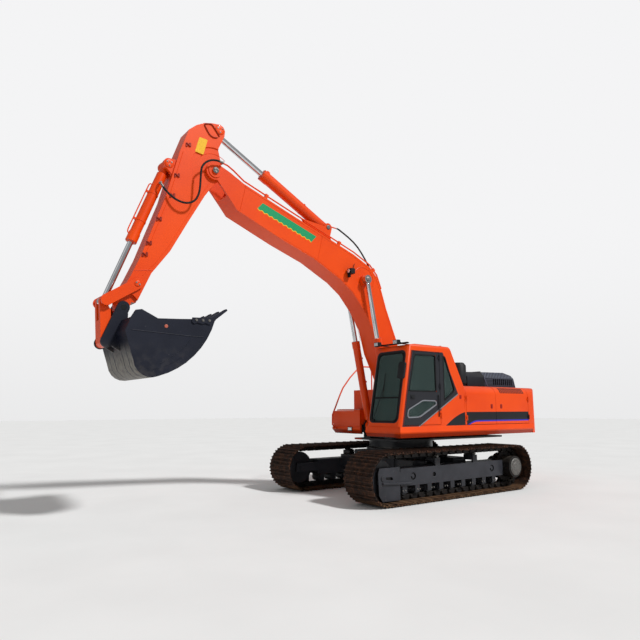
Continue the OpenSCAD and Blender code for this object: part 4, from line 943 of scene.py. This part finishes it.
def windscreen_trim():
    """Rubber round the windscreen, its cross bar, and the wiper in front of it."""
    low, high, y0, y1 = 0.025, 1.48, 0.598, 1.382
    rubber = rim_ring(Solid(), rounded_box((y0, low), (y1, high), 0.15, 8), 0.030, -0.030, 0.004)
    rubber.block((y0 + 0.01, -0.028, 0.515), (y1 - 0.01, -0.004, 0.545))
    rubber.transform(FRONT @ FRONT_DRAWN)
    piece(rubber, "windscreen_rubber", "house", (GASKET, "hose_rubber"), 0.002)
    wiper = Solid().cylinder((0.001, 0.72, 0.06), (0.030, 0.72, 0.06), 0.022, sides=20)
    arm = [(0.024, 0.72, 0.06), (0.030, 0.76, 0.20), (0.022, 0.86, 0.60), (0.014, 0.90, 0.76)]
    wiper.tube(smooth_line(arm), 0.006, 8)
    wiper.block((0.002, 0.885, 0.52), (0.012, 0.897, 1.04))
    wiper.block((0.010, 0.888, 0.70), (0.018, 0.902, 0.82))
    piece(wiper.transform(FRONT), "wiper", "house", PLASTIC, 0.001)


window_rubbers()
windscreen_trim()


def cab_details():
    hatch = Solid().block((0.30, 0.62, CAB_TOP - 0.002), (0.80, 1.30, CAB_TOP + 0.018))
    hatch.block((0.10, 0.56, CAB_TOP - 0.002), (0.14, 1.42, CAB_TOP + 0.006))
    piece(hatch, "roof_hatch", "house", ENAMEL, 0.006)
    door = Solid().block((1.030, HALF_W - 0.002, 1.985), (1.150, HALF_W + 0.006, 2.075))
    door.prism(rounded_box((1.045, 2.015), (1.135, 2.045), 0.012, 3), HALF_W + 0.005, HALF_W + 0.026)
    grip = [(0.33, HALF_W + out, z) for out, z in (
        (-0.004, 1.64), (0.018, 1.66), (0.020, 1.80), (0.018, 2.05), (-0.004, 2.07))]
    piece(door.tube(smooth_line(grip, 6), 0.010, 12), "door_handle", "cab_door", PLASTIC, 0.002)
    mirror = Solid().prism(rounded_box((1.415, 0.90), (1.555, 1.20), 0.035, 4), 0.0, 0.004)
    mirror.transform(FRONT @ Matrix.Translation((0.0965, 0, 0)) @ FRONT_DRAWN)
    piece(mirror, "mirror_pane", "house", (mirror_glass(), "window_glass"))
    lamps, eyes = Solid(), Solid()
    for y in (0.62, 1.20):
        lamps.block((1.262, y - 0.066, 3.118), (1.276, y + 0.066, 3.206))
        lead = [(1.20, y - 0.03, 3.200), (1.12, y - 0.07, 3.22), (1.02, y - 0.03, 3.140)]
        lamps.tube(smooth_line(lead, 5), 0.006, 8)
        eyes.block((1.272, y - 0.056, 3.128), (1.281, y + 0.056, 3.196))
    lamps.block((1.085, 0.585, CAB_TOP - 0.002), (1.125, 1.40, CAB_TOP + 0.030))
    piece(lamps, "roof_lamp_rims", "house", PLASTIC, 0.004)
    piece(eyes, "roof_lamp_lenses", "house", LENS_LOOK, 0.003)


def cab_inside():
    """Console boxes, levers, pedals and the monitor round the seat, drawn from the cab's floor up."""
    solid = Solid()
    box = round_corners([(0.20, 0), (0.70, 0), (0.72, 0.46), (0.62, 0.50), (0.20, 0.44)], 0.04, 4)
    for s in (-1, 1):
        y, pedal_y = SEAT_Y + s * 0.33, SEAT_Y + s * 0.09
        solid.prism(box, y - 0.06, y + 0.06)
        solid.tube(smooth_line([(0.62, y, 0.47), (0.62, y, 0.58), (0.635, y, 0.64)], 5), 0.014, 12)
        solid.lathe((0.632, y, 0.60), (0.008, 0, 0.12),
                    [(0, 0.016), (0.02, 0.026), (0.07, 0.030), (0.10, 0.020), (0.108, 0.0)], 20)
        lever = [(0.97, pedal_y, 0.04), (0.93, pedal_y, 0.30), (0.88, pedal_y + s * 0.01, 0.56)]
        solid.tube(smooth_line(lever, 5), 0.012, 12)
        solid.lathe((0.89, pedal_y + s * 0.01, 0.52), (-0.03, 0, 0.12),
                    [(0, 0.016), (0.02, 0.022), (0.09, 0.024), (0.11, 0.0)], 16)
        solid.prism([(0.90, 0), (1.05, 0), (1.06, 0.02), (0.94, 0.06)], pedal_y - 0.05, pedal_y + 0.05)
    solid.prism(round_corners([(0.95, 0.62), (1.0, 0.60), (1.04, 0.80), (0.99, 0.82)], 0.01, 3), 0.60, 0.80)
    solid.block((1.0, 0.68, 0), (1.03, 0.71, 0.66))
    solid.transform(Matrix.Translation((0, 0, CAB_FLOOR)))
    piece(solid, "cab_controls", "house", PLASTIC, 0.004, ["operator_seat"])


cab_details()
cab_inside()


def cushion(name, size, crown, move, channels, look):
    """A padded block whose faces swell between its edges, with sewn channels across its upper face."""
    solid = Solid()
    bmesh.ops.create_cube(solid.bm, size=1.0)
    bmesh.ops.subdivide_edges(solid.bm, edges=solid.bm.edges[:], cuts=17, use_grid_fill=True)
    for v in solid.bm.verts:
        p = Vector(v.co) * 2
        pull = [1 - 0.10 * (abs(p[(i + 1) % 3]) ** 4 + abs(p[(i + 2) % 3]) ** 4) / 2 for i in range(3)]
        q = Vector(p[i] * pull[i] * size[i] / 2 for i in range(3))
        q.z += crown * (1 - p.x ** 2) * (1 - p.y ** 2) * max(0.0, p.z)
        for c in channels:
            q.z -= 0.010 * max(0.0, p.z) * math.exp(-((p.x - c) / 0.05) ** 2)
        v.co = q
    made = piece(solid.transform(move), name, "house", look, 0.0, ["operator_seat"])
    finer = made.modifiers.new("finer", "SUBSURF")
    finer.levels = finer.render_levels = 1


def seat():
    cloth = (seat_cloth(), "seat_fabric")
    place = Matrix.Translation((0, SEAT_Y, CAB_FLOOR))
    lean = place @ Matrix.Translation((0.13, 0, 0.40)) @ Matrix.Rotation(math.radians(-12), 4, "Y")
    upright = Matrix.Rotation(math.radians(90), 4, "Y")
    squab = place @ Matrix.Translation((0.37, 0, 0.330))
    back = lean @ Matrix.Translation((-0.055, 0, 0.29)) @ upright
    head = lean @ Matrix.Translation((-0.055, 0, 0.58)) @ upright
    cushion("seat_cushion", (0.52, 0.48, 0.13), 0.018, squab, (-0.35, 0.30), cloth)
    cushion("seat_back", (0.52, 0.45, 0.11), 0.012, back, (-0.3, 0.35), cloth)
    cushion("seat_headrest", (0.12, 0.27, 0.09), 0.008, head, (), cloth)
    base = Solid().prism([(0.14, 0), (0.56, 0), (0.50, 0.24), (0.18, 0.24)], -0.19, 0.19)
    base.block((0.10, -0.22, 0.24), (0.62, 0.22, 0.268))
    piece(base.transform(place), "seat_base", "house", PLASTIC, 0.006, ["operator_seat"])


seat()


def side_strip(solid, x0, x1, side):
    """A band round the body's upper side edge, from 14 to 58 degrees above the side plane."""
    outline = []
    for r, order in ((BODY_ROUND + 0.0005, range(14, 59, 4)), (BODY_ROUND + 0.004, range(58, 13, -4))):
        outline += [(side * (HALF_W - BODY_ROUND + r * math.cos(math.radians(a))),
                     BODY_TOP - BODY_ROUND + r * math.sin(math.radians(a))) for a in order]
    solid.skin([[(x, y, z) for y, z in outline] for x in (x0, x1)])


def hood_details():
    """A black sheet under the hood's slots as painted shade, and the ridges in front of its louvred half,
    paler grey as a painted highlight.
    """
    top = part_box("engine_hood")[1][2]
    outline = [(1.025, HOOD_FOOT), (1.025, top - 0.20), (0.90, top - 0.11)]
    outline += [(-y, z) for y, z in outline[::-1]]
    # Painted shade: a black sheet under the slots stands for the shade inside the hood.
    shade_liner = Solid().skin([[(x, y, z) for y, z in outline] for x in (-2.90, -1.25)])
    piece(shade_liner, "hood_liner", "engine_hood", (GASKET, "black_cover"))
    ridges = Solid()
    for s in (-1, 1):
        slant = [(-1.905, HOOD_FOOT), (-1.872, HOOD_FOOT), (-1.752, top - 0.155), (-1.785, top - 0.155)]
        ridges.prism(slant, s * (HOOD_SIDE - 0.002), s * (HOOD_SIDE + 0.010))
    ridges.block((-1.785, 0.10 - HOOD_SIDE, top - 0.030), (-1.752, HOOD_SIDE - 0.10, top + 0.003))
    # Painted highlight: the ridges are a paler grey than the nearly black hood.
    grey = flat_color("ridge_highlight_grey", "4E5364", 0.35)
    piece(ridges, "hood_ridges", "engine_hood", (grey, "black_cover"), 0.004)


def body_details():
    pump_end = "pump_door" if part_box("pump_door")[0][0] < -2.6 else "house"
    step, width = 0.063, 0.034
    for name, body, rear, count, side in (("side_louvre", "side_door_rear", -2.70, 15, 1),
                                          ("right_louvre", pump_end, -2.66, 13, -1)):
        louvre = Solid()
        for x in (rear + step * k for k in range(count)):
            side_strip(louvre, x, x + width, side)
        piece(louvre, name, body, PLASTIC, 0.001)
    latch_red = flat_color("latch_red", "98231A", 0.35)
    for name, body, x, s in (("front_latch", "side_door_front", -1.45, 1),
                             ("rear_latch", "side_door_rear", -1.80, 1),
                             ("pump_latch", "pump_door", -0.85, -1)):
        latch = Solid().prism(rounded_box((x - 0.035, 1.80), (x + 0.035, 1.90), 0.02, 4),
                              s * (HALF_W - 0.002), s * (HALF_W + 0.005))
        latch.prism(rounded_box((x - 0.020, 1.815), (x + 0.020, 1.885), 0.01, 3),
                    s * (HALF_W + 0.004), s * (HALF_W + 0.011))
        piece(latch, name, body, (latch_red, "orange_paint"), 0.001)
    red = flat_color("reflector_red", "9C1B16", 0.25)
    eye = Solid().prism(rounded_box((-0.405, 2.01), (-0.345, 2.09), 0.01, 3), HALF_W - 0.001, HALF_W + 0.006)
    piece(eye, "pillar_reflector", "house", (red, "orange_paint"), 0.001)
    grip = Solid()
    low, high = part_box("toolbox_lid")
    for x in (low[0] + 0.06 + 0.068 * i for i in range(9)):
        for y in (low[1] + 0.05 + 0.067 * j for j in range(12)):
            if x < high[0] - 0.03 and y < high[1] - 0.03:
                grip.cylinder((x, y, 1.7862), (x, y, 1.7902), 0.018, 0.014, 10)
    piece(grip, "lid_grip", "toolbox_lid", (WARM_GREY, "frame_paint"))
    tank_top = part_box("fuel_tank")[1][2] - 0.06
    cap = Solid().lathe((-0.35, -1.10, tank_top), (0, 0, 1),
                        [(0, 0.09), (0.075, 0.09), (0.085, 0.08), (0.088, 0.0)], 32)
    piece(cap, "tank_cap", "house", PLASTIC, 0.002)
    rim = Solid().block((0.829, -0.90, 1.29), (0.842, -0.74, 1.378))
    piece(rim, "deck_lamp_rim", "house", PLASTIC, 0.004)
    eye = Solid().block((0.840, -0.885, 1.302), (0.846, -0.755, 1.366))
    piece(eye, "deck_lamp_lens", "house", LENS_LOOK, 0.003)
    x, y = INTAKE
    band = Solid().lathe((x, y, 2.40), (0, 0, 1),
                         [(0, 0.182), (0.0, 0.184), (0.05, 0.184), (0.05, 0.182)], 56)
    for a in turn_angles(28):
        place = Matrix.Translation((x + 0.158 * math.cos(a), y + 0.158 * math.sin(a), 2.316))
        band.block((-0.006, -0.010, 0), (0.006, 0.010, 0.030), place @ Matrix.Rotation(a, 4, "Z"))
    piece(band, "intake_band", "house", PLASTIC)


hood_details()
body_details()


# Details of the boom, the arm and the bucket


def pin_cap(solid, bolts, centre, y, s, r, h=0.016, count=3):
    """A round keeper with a stepped edge, and bolts if a count is given, on the end of a pin."""
    solid.lathe((centre[0], y, centre[1]), (0, s, 0),
                [(-0.002, r * 0.98), (h * 0.6, r), (h * 0.8, r * 0.95), (h, r * 0.88), (h, r * 0.30),
                 (h * 0.8, 0.0)], 40)
    if count:
        bolts.bolts(ring_of(centre, r * 0.58, count, y + s * h, 0.5), (0, s, 0), 0.011, 0.011)


def weld(solid, points, y, r=0.006):
    """A raised bead along a side-view line on a plate."""
    solid.tube([(x, y, z) for x, z in points], r, 8)


def even_points(a, b, steps):
    return [(a[0] + (b[0] - a[0]) * k / steps, a[1] + (b[1] - a[1]) * k / steps) for k in range(steps + 1)]


BOOM_LOWER_SEAM = [(0.98, 3.35), (1.05, 3.62), (1.30, 4.05), (1.62, 4.38), (1.96, 4.62), (2.66, 4.965),
                   (3.45, 5.235)]
BOOM_UPPER_SEAM = [(0.33, 3.31), (0.64, 4.04), (0.77, 4.43), (0.90, 4.73), (1.10, 4.935), (1.56, 5.15),
                   (2.38, 5.44), (3.31, 5.76), (4.34, 6.12)]


def boom_details():
    caps, bolts, seams = Solid(), Solid(), Solid()
    for s in (-1, 1):
        pin_cap(caps, bolts, BOOM_FOOT, s * 0.291, s, 0.058, 0.014, 2)
        pin_cap(caps, bolts, BOOM_TIP, s * 0.2805, s, 0.062, 0.016, 3)
        pin_cap(caps, bolts, CROWD_FOOT, s * 0.165, s, 0.05, 0.012, 0)
        y = s * (BOOM_Y + 0.001)
        weld(seams, even_points((2.42, 5.46), (2.55, 4.90), 8), y)
        weld(seams, even_points((4.30, 6.13), (4.42, 5.60), 8), y)
        weld(seams, arc_points(LIFT_EYE, 0.30, 20, 250, 30), y, 0.007)
        weld(seams, BOOM_LOWER_SEAM, y, 0.004)
        weld(seams, BOOM_UPPER_SEAM, y, 0.004)
    piece(caps, "boom_pin_caps", "boom", (WARM_GREY, "bare_steel"))
    piece(bolts, "boom_bolts", "boom", BARE)
    piece(seams, "boom_welds", "boom", ENAMEL)
    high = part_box("boom_lamp")[1]
    x, y, z = high[0], (high[1] + 0.27) / 2, 4.768
    rim = Solid().lathe((x - 0.004, y, z), (1, 0, 0),
                        [(0, 0.048), (0.014, 0.050), (0.018, 0.046), (0.018, 0.0)], 36)
    piece(rim, "boom_lamp_rim", "boom", PLASTIC)
    eye = Solid().lathe((x + 0.012, y, z), (1, 0, 0),
                        [(0, 0.041), (0.009, 0.040), (0.014, 0.020), (0.015, 0.0)], 32)
    piece(eye, "boom_lamp_lens", "boom", LENS_LOOK)
    lead = [(x - 0.10, 0.33, 4.80), (x - 0.14, 0.32, 4.86), (x - 0.20, 0.26, 4.93), (x - 0.24, 0.236, 4.99)]
    piece(Solid().tube(smooth_line(lead, 6), 0.007, 8), "boom_lamp_lead", "boom", HOSE)


ARM_BRACKETS = [(5.505, 6.658), (5.702, 6.007), (5.774, 5.606), (6.001, 5.118), (6.160, 4.649),
                (6.221, 4.434)]
ARM_FRONT_SEAM = [(6.24, 4.06), (6.04, 4.30), (5.83, 4.60), (5.51, 5.20), (5.20, 5.77), (5.06, 6.0)]
ARM_LINES = ([(5.198, 7.149), (5.14, 7.06), (5.081, 6.985), (5.0, 6.955), (4.926, 6.971)],
             [(5.19, 7.175), (5.06, 7.206), (4.98, 7.13), (4.92, 7.06), (4.884, 7.012)])


def arm_details():
    caps, bolts, seams, marks = Solid(), Solid(), Solid(), Solid()
    for s in (-1, 1):
        y = s * (ARM_Y + 0.001)
        pin_cap(caps, bolts, CURL_FOOT, s * 0.158, s, 0.085, 0.018, 3)
        pin_cap(caps, bolts, CROWD_EYE, s * 0.199, s, 0.095, 0.018, 3)
        pin_cap(caps, bolts, ROCKER_PIN, s * 0.2465, s, 0.055, 0.014, 2)
        weld(seams, ARM_FRONT_SEAM, y, 0.004)
        weld(seams, [(5.60, 6.50), (5.84, 5.53), (6.23, 4.38)], y, 0.005)
        weld(seams, even_points((6.06, 4.18), (6.38, 4.13), 6), y)
        weld(seams, arc_points(BOOM_TIP, 0.36, 40, 130, 14), s * 0.181, 0.005)
    low, high = ARM_Y - 0.002, ARM_Y + 0.014
    for x, z in ARM_BRACKETS:
        marks.block((x + 0.020, low, z - 0.045), (x + 0.050, high, z + 0.030))
        marks.block((x - 0.050, low, z - 0.030), (x - 0.020, high, z + 0.045))
        slant = [(x - 0.045, z - 0.018), (x - 0.03, z - 0.03), (x + 0.045, z + 0.018), (x + 0.03, z + 0.03)]
        marks.prism(slant, low, high + 0.012)
    for run in ARM_LINES:
        (x0, z0), (x1, z1) = run[0], run[-1]
        line = smooth_line([(x, ARM_Y + 0.012, z) for x, z in run], 5)
        marks.tube([(x0, ARM_Y - 0.01, z0)] + line + [(x1, ARM_Y - 0.01, z1)], 0.010, 8)
    piece(caps, "arm_pin_caps", "arm", ENAMEL)
    piece(bolts, "arm_bolts", "arm", BARE)
    piece(seams, "arm_welds", "arm", ENAMEL)
    piece(marks, "arm_brackets", "arm", (flat_color("boss_red", "8E2A1B", 0.35, 0.2), "orange_paint"), 0.003)
    outline = round_corners([(5.12, 6.87), (5.29, 6.88), (5.37, 6.57), (5.20, 6.55)], 0.02, 4)
    plate = Solid().prism(outline, ARM_Y - 0.001, ARM_Y + 0.0025)
    piece(plate, "arm_plate", "arm", (flat_color("plate_yellow", "F0B818", 0.4), "orange_paint"), 0.0006)


def cylinder_details():
    """Glands, bands and lines of the cylinders, each on the body of its barrel or rod."""
    for name, body, foot, end, length, r, rod_r, y in (
            ("lift_left", "lift_barrels", LIFT_FOOT, LIFT_EYE, 1.93, 0.085, 0.050, LIFT_Y),
            ("lift_right", "lift_barrels", LIFT_FOOT, LIFT_EYE, 1.93, 0.085, 0.050, -LIFT_Y),
            ("crowd", "crowd_barrel", CROWD_FOOT, CROWD_EYE, 1.80, 0.112, 0.058, 0.0),
            ("curl", "curl_barrel", CURL_FOOT, ROCKER_END, 1.62, 0.092, 0.048, 0.0)):
        turn = along(foot, end, y)
        ahead = turn.to_3x3() @ Vector((1, 0, 0))
        shell = [(length + x, radius) for x, radius in (
            (-0.012, r + 0.006), (-0.010, r + 0.009), (0.020, r + 0.009), (0.024, r * 0.93),
            (0.030, r * 0.80), (0.034, rod_r + 0.008), (0.034, rod_r + 0.0012), (-0.012, rod_r + 0.0012),
            (-0.012, r + 0.006))]
        piece(Solid().lathe(turn.translation, ahead, shell, 48), name + "_gland", body, ENAMEL)
        circle = r - 0.008
        heads = [turn @ Vector((length + 0.022, circle * math.cos(a), circle * math.sin(a)))
                 for a in turn_angles(8)]
        piece(Solid().bolts(heads, ahead, 0.009, 0.010), name + "_gland_bolts", body, BARE)
    caps = Solid()
    for name, s in (("lift_line_right", -1), ("lift_line_left", 1)):
        turn = along(LIFT_FOOT, LIFT_EYE, s * LIFT_Y)
        run = ((0.16, 0.12), (0.22, 0.104), (0.40, 0.102), (1.70, 0.102), (1.80, 0.104), (1.86, 0.088))
        lines = Solid().tube([turn @ p for p in smooth_line([(x, 0, z) for x, z in run], 6)], 0.011, 10)
        for x in (0.45, 1.0, 1.55):
            lines.block((x - 0.02, -0.02, 0.080), (x + 0.02, 0.02, 0.120), turn)
        piece(lines, name, "lift_barrels", ENAMEL, 0.002)
        pin_cap(caps, None, LIFT_EYE, s * (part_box("lift_rods")[1][1] - 0.001), s, 0.050, 0.012, 0)
    piece(caps, "lift_pin_caps", "lift_rods", BARE)
    turn = along(CURL_FOOT, ROCKER_END, 0)
    band = Solid()
    for x in (0.62, 1.20):
        band.lathe(turn @ Vector((x, 0, 0)), turn.to_3x3() @ Vector((1, 0, 0)),
                   [(0, 0.0915), (0, 0.098), (0.035, 0.098), (0.035, 0.0915), (0, 0.0915)], 40)
        band.block((x, -0.02, 0.09), (x + 0.035, 0.02, 0.125), turn)
    run = ((0.47, 0.094), (0.49, 0.125), (0.60, 0.132), (1.20, 0.132), (1.46, 0.130), (1.52, 0.096))
    band.tube([turn @ p for p in smooth_line([(x, 0, z) for x, z in run], 6)], 0.011, 10)
    piece(band, "curl_line", "curl_barrel", ENAMEL, 0.001)


BUCKET_LUG = (5.978, 3.147)
BUCKET_SIDE_BOLTS = ((5.22, 3.305), (5.34, 3.30), (5.46, 3.295))


def bucket_details():
    bolts, seams = Solid(), Solid()
    for s in (-1, 1):
        y = s * (BUCKET_Y + 0.001)
        heads = [(x, s * (BUCKET_Y + 0.022), z) for x, z in BUCKET_SIDE_BOLTS]
        bolts.bolts(heads, (0, s, 0), 0.017, 0.016)
        weld(seams, even_points((6.55, 3.046), (5.547, 3.013), 10) + [(5.32, 3.015)], y, 0.007)
        bend = smooth_line([(6.056, 2.53), (5.852, 2.657), (5.658, 2.812), (5.544, 2.948)], 5)
        weld(seams, bend, y, 0.006)
    piece(bolts, "bucket_bolts", "bucket", (WARM_GREY, "bare_steel"))
    x, z = BUCKET_LUG
    lug = Solid().lathe((x, BUCKET_Y - 0.001, z), (0, 1, 0),
                        [(0, 0.030), (0.008, 0.030), (0.011, 0.024), (0.011, 0.0)], 24)
    piece(lug, "bucket_lug", "bucket", (flat_color("lug_red", "B4614F", 0.4), "bare_steel"))
    piece(seams, "bucket_welds", "bucket", (BUCKET_PAINT, "bucket_paint"))


boom_details()
arm_details()
cylinder_details()
bucket_details()


# Floor and light


def sun(name, towards, strength, spread):
    data = bpy.data.lights.new(name, "SUN")
    data.energy = strength
    data.angle = math.radians(spread)
    add_object(name, data).rotation_euler = Vector(towards).to_track_quat("Z", "Y").to_euler()


def sky():
    """Soft light from above, behind a plain backdrop that the camera sees."""
    world = bpy.data.worlds.new("studio")
    bpy.context.scene.world = world
    world.use_nodes = True
    world.node_tree.nodes.clear()
    shade = Shade(world.node_tree)
    rays = [shade.node("ShaderNodeLightPath", out=ray) for ray in ("Is Camera Ray", "Is Transmission Ray")]
    seen = shade.math("MAXIMUM", *rays)
    towards = shade.node("ShaderNodeTexCoord", out="Generated")
    height = shade.node("ShaderNodeSeparateXYZ", sockets={0: towards}, out=2)
    soft = height.above(0.1, 0.9).mix("B9BCC0", "FFFFFF")
    light = shade.node("ShaderNodeBackground", sockets={"Color": soft, "Strength": 0.38})
    backdrop = height.above(0.03, 0.28).mix("E4E4E4", "F4F4F5")
    plain = shade.node("ShaderNodeBackground", sockets={"Color": backdrop, "Strength": 1.0})
    both = shade.node("ShaderNodeMixShader", sockets={0: seen, 1: light, 2: plain})
    shade.node("ShaderNodeOutputWorld", sockets={"Surface": both})


def pale_floor():
    """A wide plain floor just under the tracks."""
    size, z = 90, -0.006
    mesh = bpy.data.meshes.new("floor")
    corners = [(-size, -size, z), (size, -size, z), (size, size, z), (-size, size, z)]
    mesh.from_pydata(corners, [], [(0, 1, 2, 3)])
    shop = Finish("pale_floor")
    base = shop.noise(0.6, 3.0).above(0.5, 0.4).mix("E6E6E5", "EDEDEC")
    mesh.materials.append(shop.end(base, 0.9))
    floor = add_object("floor", mesh)


bpy.context.scene.view_settings.view_transform = "Standard"
sky()
sun("key", (-0.30, 0.66, 0.69), 2.75, 6)
sun("fill", (0.9, 0.2, 0.45), 0.15, 40)
pale_floor()
